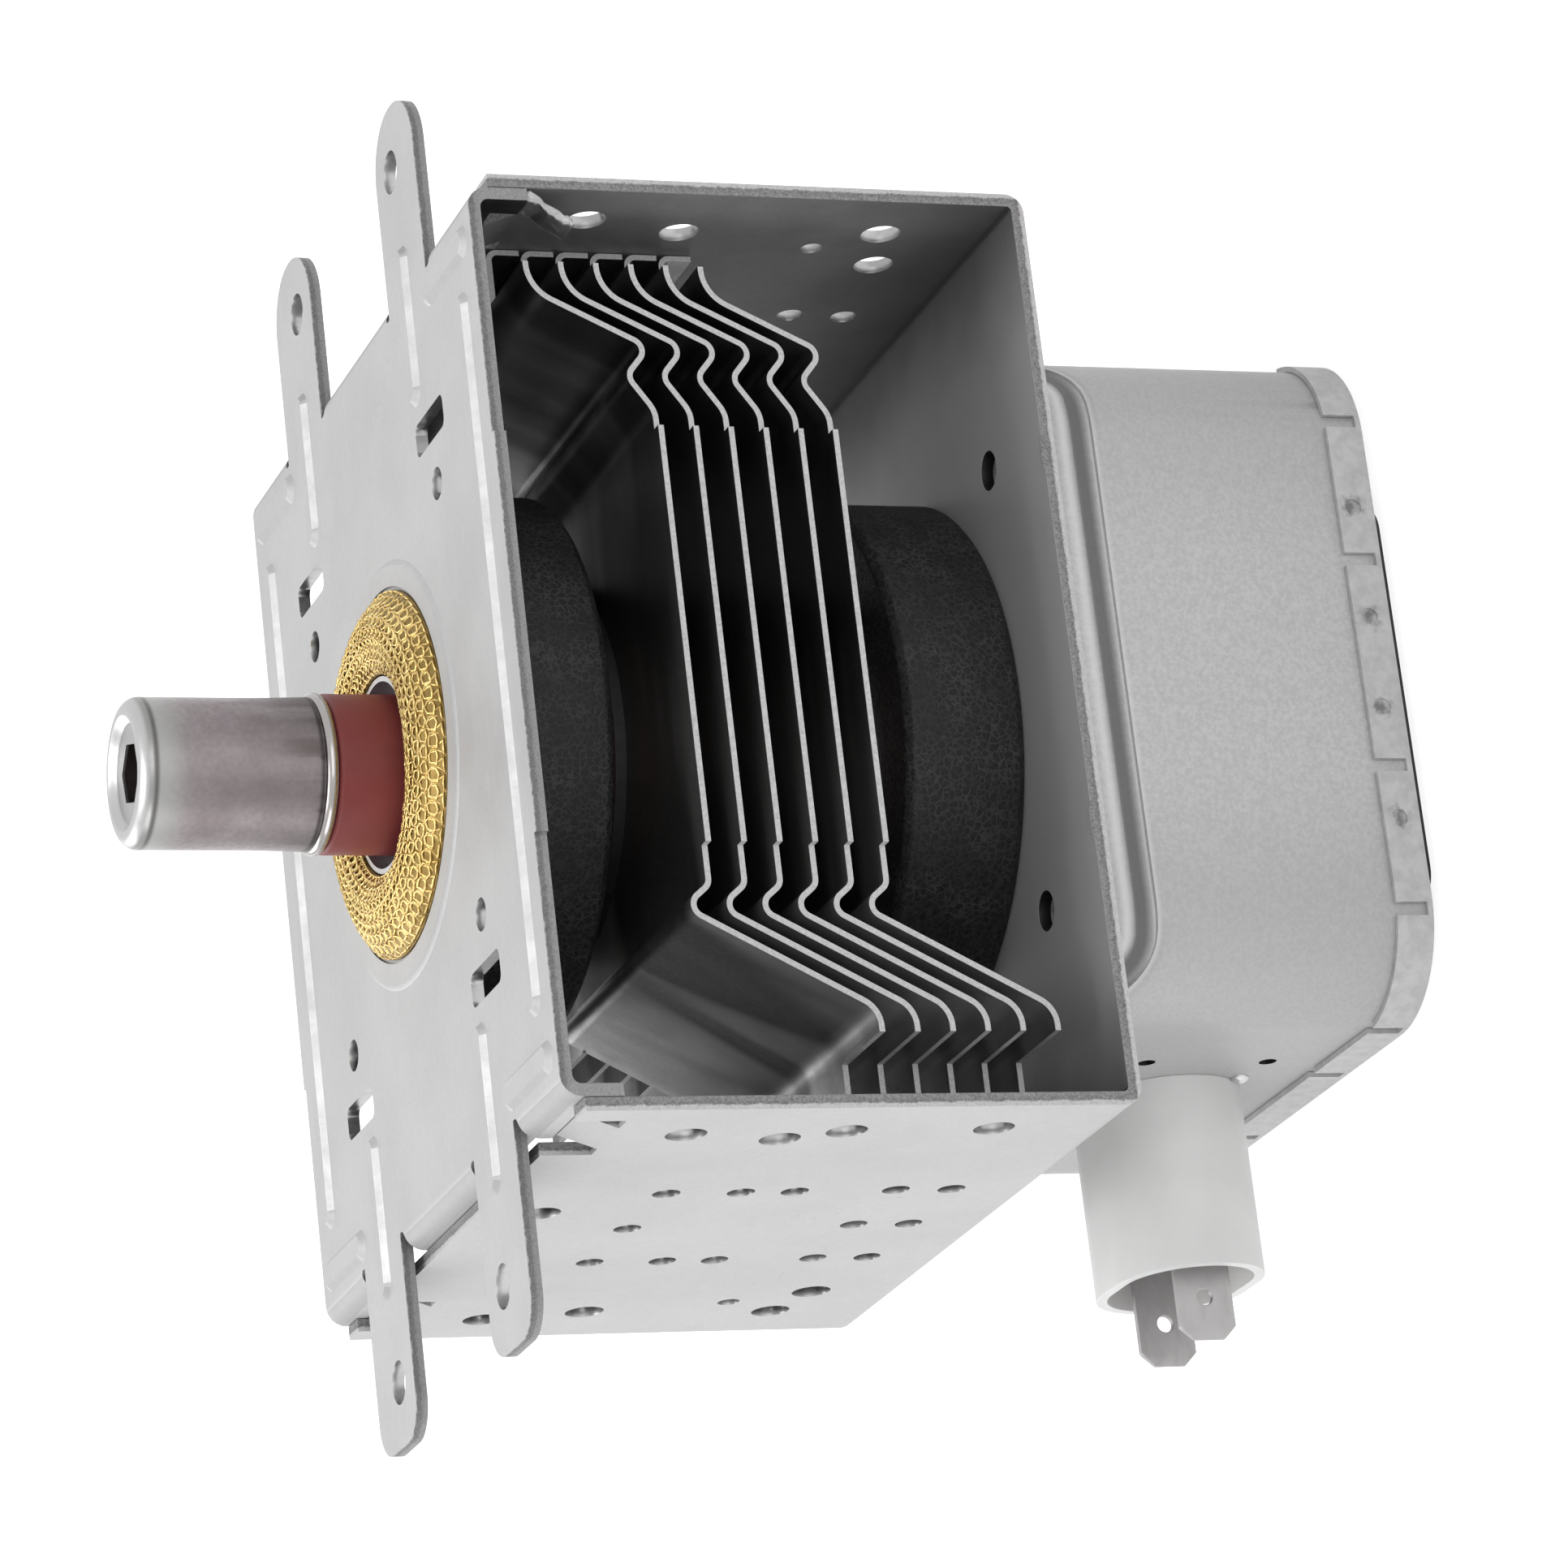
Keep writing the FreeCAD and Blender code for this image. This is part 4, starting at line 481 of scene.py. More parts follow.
@dataclass(frozen=True)
class DentedLid(ZincSheet):
    """Lid: painted shade round the places where its tabs are dimpled."""

    rows: Sequence[float] = (5.0 * MM, 17.2 * MM)
    level: float = -95.65 * MM
    painted_shade_reach: float = 1.5 * MM
    ragged: float = 0.7 * MM
    painted_dimple_shade: Colour = grey(0.11)

    def shade(self, graph: Graph, colour: Socket) -> Socket:
        """Return the colour with painted shade round the dimples.

        Args:
            graph: The material's nodes.
            colour: The colour so far.

        Returns:
            The socket of the marked colour.
        """
        # Painted shade round the dimples of the tabs.
        across = graph.off_middle()
        height = graph.join("SUBTRACT", graph.axis("Z"), self.level)
        nearest = 1.0
        for row in self.rows:
            away = graph.reach(graph.join("SUBTRACT", across, row), height)
            nearest = graph.join("MINIMUM", nearest, away)
        ragged = graph.level(graph.noise(900.0, 3.0), *SPREAD, -self.ragged, self.ragged)
        mark = graph.level(graph.join("ADD", nearest, ragged), 0.0, self.painted_shade_reach, 0.75, 0.0, smooth=True)
        return graph.blend(mark, colour, self.painted_dimple_shade)


@dataclass(frozen=True)
class ShearedEdge:
    """Edge of a cut sheet: bands through its thickness, ragged and finely torn."""

    name: str
    dark: Colour
    light: Colour
    bands: Sequence[tuple[float, float]]
    sheet: float = YOKE_SHEET
    wall: float = YOKE_WALL
    level: float = YOKE_BASE
    metallic: float = 0.25
    flecks: float = 2600.0
    contrast: float = 0.5
    ragged: float = 0.09
    torn_depth: float = 0.02 * MM

    def build(self) -> Material:
        """Build the finish.

        Returns:
            The finished material.
        """
        graph = Graph(self.name, self.metallic, 0.3)
        past_wall = graph.join("SUBTRACT", graph.off_middle(), self.wall)
        past_level = graph.join("SUBTRACT", self.level, graph.axis("Z"))
        share = graph.join("DIVIDE", graph.join("MAXIMUM", past_wall, past_level), self.sheet)
        ragged = graph.level(graph.noise(1100.0, roughness=0.7), *SPREAD, -self.ragged, self.ragged)
        band = graph.bands(graph.join("ADD", share, ragged), self.bands)
        torn = graph.noise(self.flecks, roughness=0.7)
        fleck = graph.level(torn, *SPREAD, -self.contrast / 2, self.contrast / 2)
        colour = graph.blend(graph.level(graph.join("ADD", band, fleck), 0.0, 1.0), self.dark, self.light)
        return graph.finish(colour, graph.level(torn, *SPREAD, 0.6, 0.42),
                            graph.relief(torn, self.torn_depth, 0.6))


@dataclass(frozen=True)
class DrawnSteel:
    """Drawn stainless cap: polished ends, a matt rosy middle and dark streaks near the bead, with painted
    shade lines at the shoulder and above the bead and a painted highlight on the bead.
    """

    name: str = "drawn_steel"
    mouth: float = 8.2 * MM
    bead: float = 1.4 * MM
    shoulder: float = 1.4 * MM
    crown: float = 29.0 * MM
    rosy_dark: Colour = (0.20, 0.172, 0.177)
    rosy_light: Colour = (0.27, 0.242, 0.247)
    rosy_grain: Colour = (0.17, 0.145, 0.147)
    polished: Colour = (0.31, 0.31, 0.305)
    dish: Colour = grey(0.52)
    streak: Colour = (0.10, 0.085, 0.08)
    # Colours of the painted shade lines and of the painted highlight on the bead.
    painted_shade_line: Colour = (0.05, 0.045, 0.045)
    painted_cap_bead_highlight: Colour = (0.40, 0.38, 0.37)

    def build(self) -> Material:
        """Build the finish.

        Returns:
            The finished material.
        """
        graph = Graph(self.name, 1.0)
        height = graph.axis("Z")
        top, crown = self.mouth + self.bead, self.crown
        near_mouth = graph.level(height, self.mouth + 9.0 * MM, self.mouth + 1.6 * MM, smooth=True)
        near_crown = graph.level(height, crown - 6.0 * MM, crown - 2.0 * MM, smooth=True)
        grain = graph.noise(1800.0, 3.0)
        matt = graph.blend(graph.level(graph.noise(220.0), *SPREAD), self.rosy_dark, self.rosy_light)
        matt = graph.blend(graph.level(grain, 0.35, 0.7, 0.0, 0.35), matt, self.rosy_grain)
        colour = graph.blend(near_crown, matt, self.polished)
        colour = graph.blend(graph.level(height, crown - 1.0 * MM, crown - 0.6 * MM), colour, self.dish)
        streaks = graph.level(graph.noise(1.0, 3.0, (420.0, 420.0, 22.0), 0.6), 0.52, 0.66, 0.0, 0.75)
        colour = graph.blend(graph.join("MULTIPLY", streaks, near_mouth), colour, self.streak)
        # Painted shade: dark lines below the shoulder and above the bead.
        colour = graph.stripes(colour, height, (
            Stripe(crown - self.shoulder - 0.2 * MM, 0.0, 0.5 * MM, 0.75, self.painted_shade_line),
            Stripe(top + 0.3 * MM, 0.0, 0.45 * MM, 0.85, self.painted_shade_line),
        ))
        # Painted highlight on the bead, which is also made smoother.
        on_bead = graph.level(height, top, top - 0.1 * MM)
        colour = graph.blend(on_bead, colour, self.painted_cap_bead_highlight)
        rough = graph.join("ADD", graph.level(on_bead, 0.0, 1.0, 0.34, 0.18),
                           graph.level(grain, *SPREAD, -0.04, 0.06))
        return graph.finish(colour, rough, graph.relief(grain, 0.006 * MM, 0.5))


@dataclass(frozen=True)
class FinSheet:
    """Thin aluminium: dull metal painted darker than bare aluminium as shade, with soft ripples across it and
    more painted shade towards its right end.
    """

    name: str = "fin_sheet"
    # The fin's colours are far darker than bare aluminium: painted shade.
    dark: Colour = grey(0.12)
    light: Colour = grey(0.52)
    grain: Colour = grey(0.34)
    painted_far_shade: Colour = grey(0.015)
    far_shade_span: Sequence[float] = (-12.0 * MM, 16.0 * MM)
    ripple_depth: float = 0.6 * MM

    def build(self) -> Material:
        """Build the finish.

        Returns:
            The finished material.
        """
        graph = Graph(self.name, 0.9)
        ripples = graph.noise(1.0, 2.0, (16.0, 85.0, 16.0), 0.4, 0.3)
        cloud = graph.noise(90.0)
        grain = graph.noise(1700.0, 3.0, roughness=0.7)
        colour = graph.blend(graph.level(ripples, 0.40, 0.56, smooth=True), self.dark, self.light)
        colour = graph.blend(graph.level(cloud, 0.45, 0.75, 0.0, 0.4), colour, self.dark)
        colour = graph.blend(graph.level(grain, 0.4, 0.7, 0.0, 0.25), colour, self.grain)
        # Painted shade, deepening towards the right end.
        far_shade_span = graph.level(graph.axis("X"), *self.far_shade_span, 0.0, 0.62, smooth=True)
        colour = graph.blend(far_shade_span, colour, self.painted_far_shade)
        rough = graph.level(graph.join("ADD", grain, cloud), *SUM_SPREAD, 0.3, 0.46)
        normal = graph.relief(ripples, self.ripple_depth, 0.5)
        return graph.finish(colour, rough, graph.relief(grain, 0.006 * MM, 0.5, normal))


@dataclass(frozen=True)
class Ferrite:
    """Hard ferrite: near-black, with the fine net of pale cracks that its lacquer shows."""

    name: str
    body: Colour = (0.014, 0.014, 0.0145)
    crack: Colour = grey(0.075)
    cells: float = 1300.0
    warp: float = 0.9
    light: float = 2.2

    def build(self) -> Material:
        """Build the finish.

        Returns:
            The finished material.
        """
        graph = Graph(self.name, 0.0, 0.22)
        edge = graph.crackle(self.cells, self.warp / self.cells)
        fine = graph.noise(1700.0, 3.0)
        patches = graph.level(graph.noise(240.0, 3.0), 0.40, 0.62, 0.3, 0.9)
        shown = graph.join("MULTIPLY", graph.level(edge, 0.0, 0.14, 1.0, 0.0), patches)
        colour = graph.blend(graph.level(fine, 0.35, 0.7), self.body, scaled(self.body, self.light))
        colour = graph.blend(shown, colour, self.crack)
        normal = graph.relief(graph.level(edge, 0.0, 0.2), 0.04 * MM, 0.6)
        normal = graph.relief(fine, 0.02 * MM, 0.5, normal)
        return graph.finish(colour, graph.level(fine, *SPREAD, 0.45, 0.65), normal)


@dataclass(frozen=True)
class FiredClay:
    """Fired ceramic: matt and even, with faint clouds and pinholes."""

    name: str
    dark: Colour
    light: Colour
    roughness: float
    pinhole_shade: float = 0.6

    def build(self) -> Material:
        """Build the finish.

        Returns:
            The finished material.
        """
        graph = Graph(self.name, 0.0)
        cloud = graph.noise(160.0, 5.0)
        fine = graph.noise(2400.0, 2.0)
        colour = graph.blend(graph.level(cloud, *SPREAD), self.dark, self.light)
        pinholes = graph.level(fine, 0.62, 0.72, 0.0, 0.25)
        colour = graph.blend(pinholes, colour, scaled(self.dark, self.pinhole_shade))
        rough = graph.level(cloud, *SPREAD, self.roughness - 0.06, self.roughness + 0.06)
        return graph.finish(colour, rough, graph.relief(fine, 0.012 * MM, 0.6))


@dataclass(frozen=True)
class PlainMetal:
    """Bare, tinned or coated metal with light clouding and fine scratches."""

    name: str
    dark: Colour
    light: Colour
    metallic: float = 1.0
    roughness: float = 0.32
    scratches: Sequence[float] = (900.0, 900.0, 60.0)
    scratch_shade: float = 0.65

    def build(self) -> Material:
        """Build the finish.

        Returns:
            The finished material.
        """
        graph = Graph(self.name, self.metallic)
        cloud = graph.noise(260.0)
        lines = graph.noise(1.0, 3.0, self.scratches)
        colour = graph.blend(graph.level(cloud, *SPREAD), self.dark, self.light)
        scratched = graph.level(lines, 0.5, 0.75, 0.0, 0.3)
        colour = graph.blend(scratched, colour, scaled(self.dark, self.scratch_shade))
        rough = graph.level(graph.join("ADD", cloud, lines), *SUM_SPREAD,
                            self.roughness - 0.08, self.roughness + 0.1)
        return graph.finish(colour, rough, graph.relief(lines, 0.008 * MM, 0.5))


@dataclass(frozen=True)
class MouldedPlastic:
    """Heat-proof moulded plastic: off-white, satin, with a fine spark-eroded grain."""

    name: str = "moulded_plastic"
    dark: Colour = (0.86, 0.855, 0.85)
    light: Colour = (0.93, 0.925, 0.92)
    depth_share: float = 0.12
    depth: float = 3.0 * MM

    def build(self) -> Material:
        """Build the finish.

        Returns:
            The finished material.
        """
        graph = Graph(self.name, 0.0)
        grain = graph.noise(3200.0, 2.0)
        colour = graph.blend(graph.level(graph.noise(110.0), *SPREAD), self.dark, self.light)
        graph.feed(graph.shader["Subsurface Weight"], self.depth_share)
        graph.feed(graph.shader["Subsurface Radius"], (self.depth, self.depth, self.depth))
        return graph.finish(colour, graph.level(grain, *SPREAD, 0.38, 0.5),
                            graph.relief(grain, 0.008 * MM, 0.5))


class Palette:
    """Every finish, built once and shared by the pieces."""

    def __init__(self) -> None:
        """Build the finishes."""
        sheared, upright, every_way = (0.07, 0.068, 0.068), (700.0, 700.0, 120.0), (900.0, 900.0, 900.0)
        self.sheet = ZincSheet("zinc_sheet", grey(0.60), grey(0.66)).build()
        # A duller copy of the zinc sheet for the plate's side bends and cross beads; its darker colour is
        # painted shade.
        self.dull_shaded_bend = ZincSheet("dull_shaded_zinc", grey(0.48), grey(0.54), 0.12, 0.55).build()
        # A darker copy of the zinc sheet for the yoke's inward faces: painted shade.
        self.inside = FoldedSheet("yoke_inside", grey(0.26), grey(0.34), 0.12, mottle=90.0).build()
        self.box = GroovedSheet("box_zinc", grey(0.57), grey(0.68), 0.2, mottle=2200.0,
                                grain=upright, speck=grey(0.38)).build()
        self.lid = DentedLid("lid_zinc", grey(0.57), grey(0.69), 0.2, mottle=600.0,
                             grain=upright, speck=grey(0.34)).build()
        self.edge = ShearedEdge("sheared_edge", sheared, (0.66, 0.65, 0.65),
                                ((0.0, 0.30), (0.12, 0.38), (0.58, 0.28), (0.70, 0.90), (1.0, 0.95)),
                                flecks=4200.0, contrast=0.4).build()
        self.plate_edge = ShearedEdge("plate_edge", sheared, (0.62, 0.61, 0.61),
                                      ((0.0, 0.95), (0.12, 0.24), (0.42, 0.26), (0.58, 0.44), (1.0, 0.5)),
                                      1.3 * MM, 1.0, 0.0, flecks=4200.0, contrast=0.26).build()
        self.fin_edge = ShearedEdge("fin_edge", grey(0.46), grey(0.86), ((0.0, 0.6), (1.0, 0.6)),
                                    metallic=0.1, flecks=3000.0, contrast=0.7).build()
        self.cap = DrawnSteel().build()
        self.fin = FinSheet().build()
        self.ferrite = Ferrite("hard_ferrite").build()
        self.soft_ferrite = Ferrite("soft_ferrite", (0.03, 0.03, 0.032), grey(0.06)).build()
        self.rose = FiredClay("rose_ceramic", (0.22, 0.036, 0.036), (0.275, 0.05, 0.049), 0.48).build()
        self.white = FiredClay("white_ceramic", (0.72, 0.71, 0.68), (0.80, 0.79, 0.77), 0.4).build()
        self.hole = PlainMetal("hole_wall", grey(0.34), grey(0.52), 0.9, 0.3).build()
        # Near-black steel: painted shade on the plate's inward faces, the yoke's base holes, the fins'
        # collars, the holes of the can's wall and the lid panel's flanks; the dark steel of the capacitor's
        # flange.
        self.tarnish_and_shade = PlainMetal("tarnish_and_shade_steel", grey(0.02), grey(0.05), 0.6, 0.5).build()
        # A bright copy of the zinc sheet: painted highlight on the flanks of the plate's long beads.
        self.painted_bead_highlight = PlainMetal("bead_highlight_zinc", grey(0.72), grey(0.90), 0.8, 0.3).build()
        self.brass = PlainMetal("brass_wire", (0.66, 0.46, 0.16), (0.88, 0.68, 0.30), 1.0, 0.26,
                                every_way).build()
        # A darker copy of the brass for the gasket's core: painted shade under the loops.
        self.shaded_brass_core = PlainMetal("shaded_brass_core", (0.20, 0.13, 0.04), (0.36, 0.25, 0.09), 1.0, 0.5,
                                     every_way).build()
        self.copper = PlainMetal("bare_copper", (0.62, 0.28, 0.16), (0.78, 0.42, 0.28)).build()
        self.dull_copper = PlainMetal("dull_copper", (0.05, 0.032, 0.026), (0.12, 0.07, 0.05), 1.0,
                                      0.5).build()
        self.silver = PlainMetal("silver_plate", (0.58, 0.57, 0.58), (0.70, 0.69, 0.70)).build()
        self.iron = PlainMetal("soft_iron", grey(0.30), grey(0.42), 1.0, 0.45).build()
        self.tungsten = PlainMetal("tungsten", (0.16, 0.16, 0.17), (0.28, 0.28, 0.29), 1.0, 0.5).build()
        self.tinned = PlainMetal("tinned_blade", (0.43, 0.42, 0.42), (0.49, 0.475, 0.475), 0.45, 0.46,
                                 (300.0, 900.0, 900.0)).build()
        self.enamel = PlainMetal("enamelled_wire", (0.34, 0.11, 0.05), (0.50, 0.20, 0.10), 0.6, 0.3).build()
        self.plastic = MouldedPlastic().build()


class Bench:
    """Hand tools: every edit of a mesh goes through Blender's own operators."""

    @staticmethod
    def clear() -> None:
        """Deselect every object."""
        bpy.ops.object.select_all(action="DESELECT")

    @staticmethod
    def take(piece: Piece) -> None:
        """Select one object alone and make it active.

        Args:
            piece: The object.
        """
        Bench.clear()
        piece.select_set(True)
        bpy.context.view_layer.objects.active = piece

    @staticmethod
    @contextmanager
    def editing(piece: Piece, mode: str = "FACE") -> Iterator[None]:
        """Open a piece in edit mode with nothing selected, and close it again.

        Args:
            piece: The mesh to edit.
            mode: VERT, EDGE or FACE.

        Yields:
            Nothing, while the piece is open.
        """
        Bench.take(piece)
        bpy.ops.object.mode_set(mode="EDIT")
        bpy.ops.mesh.select_mode(type=mode)
        bpy.ops.mesh.select_all(action="DESELECT")
        yield
        bpy.ops.object.mode_set(mode="OBJECT")

    @staticmethod
    def pick_faces(piece: Piece, test: FaceTest) -> None:
        """Select the faces that pass a test of their centre and normal.

        Args:
            piece: The mesh, open in edit mode.
            test: Tells whether a face is wanted.
        """
        mesh = bmesh.from_edit_mesh(piece.data)
        for face in mesh.faces:
            face.select_set(test(face.calc_center_median(), face.normal))
        mesh.select_flush_mode()
        bmesh.update_edit_mesh(piece.data)

    @staticmethod
    def pick_edges(piece: Piece, test: EdgeTest) -> None:
        """Select the edges that pass a test of their middle and of the angle between their faces.

        Args:
            piece: The mesh, open in edit mode.
            test: Tells whether an edge is wanted.
        """
        mesh = bmesh.from_edit_mesh(piece.data)
        for edge in mesh.edges:
            start, end = edge.verts
            edge.select_set(edge.is_manifold and test((start.co + end.co) / 2, edge.calc_face_angle()))
        bmesh.update_edit_mesh(piece.data)

    @staticmethod
    def copy_of(node: str, name: str) -> Piece:
        """Return a clean copy of a solid: its triangles merged and its flat faces made whole.

        Args:
            node: Name of the solid.
            name: Name of the copy.

        Returns:
            The copy, at the origin.
        """
        copy = bpy.data.objects.new(name, bpy.data.objects[node].data.copy())
        bpy.context.scene.collection.objects.link(copy)
        with Bench.editing(copy, "VERT"):
            bpy.ops.mesh.select_all(action="SELECT")
            bpy.ops.mesh.remove_doubles(threshold=0.002 * MM)
            bpy.ops.mesh.dissolve_limited(angle_limit=math.radians(0.4))
        return copy

    @staticmethod
    def modify(piece: Piece, kind: str, **settings: object) -> None:
        """Add a modifier and apply it.

        Args:
            piece: The object.
            kind: Blender's name of the modifier type.
            **settings: Properties of the modifier to set.
        """
        Bench.take(piece)
        modifier = piece.modifiers.new(kind.lower(), kind)
        for key, value in settings.items():
            setattr(modifier, key, value)
        bpy.ops.object.modifier_apply(modifier=modifier.name)

    @staticmethod
    def smooth(piece: Piece, degrees: float = 32.0) -> None:
        """Shade a piece smooth, with edges sharper than an angle kept."""
        Bench.take(piece)
        bpy.ops.object.shade_smooth_by_angle(angle=math.radians(degrees))

    @staticmethod
    def coat(piece: Piece, *finishes: Material) -> None:
        """Give a piece its finishes, the first one on every face so far.

        Args:
            piece: The object.
            *finishes: The finishes.
        """
        piece.data.materials.clear()
        for finish in finishes:
            piece.data.materials.append(finish)

    @staticmethod
    def file(piece: Piece, slot: Slot, *nodes: str) -> None:
        """Hang a finished piece on the body, and hide the solids that it stands for.

        Args:
            piece: The finished piece.
            slot: Its material slot in the record; not used.
            *nodes: Names of the solids that it replaces.
        """
        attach(piece, ROOT)
        if nodes:
            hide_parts(*nodes)
        LOG.info("%s: %d faces", piece.name, len(piece.data.polygons))


@dataclass
class DressedSheet:
    """A part of the solids with broken edges, and another finish on the faces that pass each test."""

    node: str
    name: str
    slot: Slot
    edge_width: float
    edge_angle: float = 30.0
    segments: int = 2
    soft_width: float = 0.38 * MM
    soft_segments: int = 3
    soft_edges: Optional[EdgeTest] = None
    tests: Sequence[FaceTest] = ()

    def make(self, *finishes: Material) -> None:
        """Build and file the piece.

        Args:
            *finishes: Finish of the whole piece, then one for the faces that pass each test.
        """
        piece = Bench.copy_of(self.node, self.name)
        Bench.coat(piece, *finishes)
        if self.soft_edges is not None:
            with Bench.editing(piece, "EDGE"):
                Bench.pick_edges(piece, self.soft_edges)
                bpy.ops.mesh.bevel(offset=self.soft_width, segments=self.soft_segments, clamp_overlap=True)
        Bench.modify(piece, "BEVEL", width=self.edge_width, segments=self.segments, limit_method="ANGLE",
                     angle_limit=math.radians(self.edge_angle), use_clamp_overlap=True, harden_normals=False)
        for index, test in enumerate(self.tests, start=1):
            with Bench.editing(piece):
                Bench.pick_faces(piece, test)
                piece.active_material_index = index
                bpy.ops.object.material_slot_assign()
        Bench.smooth(piece)
        Bench.modify(piece, "WEIGHTED_NORMAL", keep_sharp=True)
        Bench.file(piece, self.slot, self.node)


@dataclass
class KnittedGasket:
    """Ring knitted of brass wire, pressed flat: a core of darker brass, painted shade, under rows of
    interlocked loops.
    """

    bore: float = 10.45 * MM
    rim: float = 19.2 * MM
    inner_height: float = 1.4 * MM
    outer_height: float = 0.3 * MM
    crown_radius: float = 6.4 * MM
    rows: int = 8
    stitches: int = 66
    steps: int = 10
    wire: float = 0.15 * MM
    swing: float = 0.95
    sway: float = 0.62
    offset: float = 0.2
    rise: float = 0.12 * MM
    jitter: float = 0.08 * MM
    seed: int = 7

    def surface(self, radius: float) -> float:
        """Return the height of the crowned upper face at a radius.

        Args:
            radius: Distance from the antenna's axis.

        Returns:
            The height over the plate's level.
        """
        share = (radius - self.bore) / (self.rim - self.bore)
        straight = self.inner_height + (self.outer_height - self.inner_height) * share
        half = math.hypot(self.rim - self.bore, self.inner_height - self.outer_height) / 2
        across = (2.0 * share - 1.0) * half
        centre = math.sqrt(self.crown_radius ** 2 - half ** 2)
        return straight + math.sqrt(self.crown_radius ** 2 - across ** 2) - centre

    def row(self, index: int, dice: random.Random) -> list[Vector]:
        """Return the points of one knitted row.

        Args:
            index: Row, counted from the bore.
            dice: Source of the small irregularities.

        Returns:
            Points along the closed wire.
        """
        pitch = (self.rim - self.bore) / self.rows
        middle = self.bore + pitch * (index + 0.5)
        start = dice.uniform(0.0, math.tau) * self.offset + math.pi * (index % 2)
        points = []
        for step in range(self.stitches * self.steps):
            turn = step / self.steps
            phase = math.tau * turn + start
            radius = middle + self.swing * pitch * math.cos(phase) + dice.uniform(-self.jitter, self.jitter)
            radius = min(max(radius, self.bore + self.wire), self.rim - self.wire)
            sway = self.sway * math.sin(2.0 * phase) * math.pi / self.stitches
            angle = math.tau * turn / self.stitches + sway
            height = self.surface(radius) + self.rise * math.cos(2.0 * phase) + dice.uniform(0.0, self.jitter)
            points.append(Vector((radius * math.cos(angle), radius * math.sin(angle), height)))
        return points

    def knit(self) -> Piece:
        """Knit the wire of all the rows.

        Returns:
            The wire, as a mesh.
        """
        dice = random.Random(self.seed)
        curve = bpy.data.curves.new("gasket_wire", "CURVE")
        curve.dimensions = "3D"
        curve.bevel_depth = self.wire
        curve.bevel_resolution = 0
        curve.resolution_u = 1
        for index in range(self.rows):
            points = self.row(index, dice)
            spline = curve.splines.new("POLY")
            spline.points.add(len(points) - 1)
            for point, place in zip(spline.points, points):
                point.co = (*place, 1.0)
            spline.use_cyclic_u = True
        wire = bpy.data.objects.new("gasket_wire", curve)
        bpy.context.scene.collection.objects.link(wire)
        Bench.take(wire)
        bpy.ops.object.convert(target="MESH")
        return bpy.context.view_layer.objects.active

    def make(self, palette: Palette) -> None:
        """Build the gasket and file it.

        Args:
            palette: The finishes.
        """
        core = Bench.copy_of("rf_gasket", "gasket_knit")
        # The core wears the darker brass, painted shade under the loops.
        Bench.coat(core, palette.shaded_brass_core, palette.brass)
        Bench.smooth(core)
        wire = self.knit()
        Bench.coat(wire, palette.brass)
        Bench.smooth(wire, 100.0)
        Bench.take(core)
        wire.select_set(True)
        bpy.ops.object.join()
        Bench.file(core, Slot.BRASS_MESH, "rf_gasket")


@dataclass
class Output:
    """The output above the plate: cap, ceramic, seal cup and gasket."""

    gasket: KnittedGasket = field(default_factory=KnittedGasket)

    def make(self, palette: Palette) -> None:
        """Build the output's pieces.

        Args:
            palette: The finishes.
        """
        for node, name, slot, width, finish in (
            ("antenna_cap", "cap_shell", Slot.CAP_STEEL, 0.06 * MM, palette.cap),
            ("output_ceramic", "rose_ring", Slot.ROSE_CERAMIC, 0.08 * MM, palette.rose),
            ("output_seal_cup", "seal_collar", Slot.SILVER_STEEL, 0.1 * MM, palette.silver),
        ):
            DressedSheet(node, name, slot, edge_width=width).make(finish)
        self.gasket.make(palette)


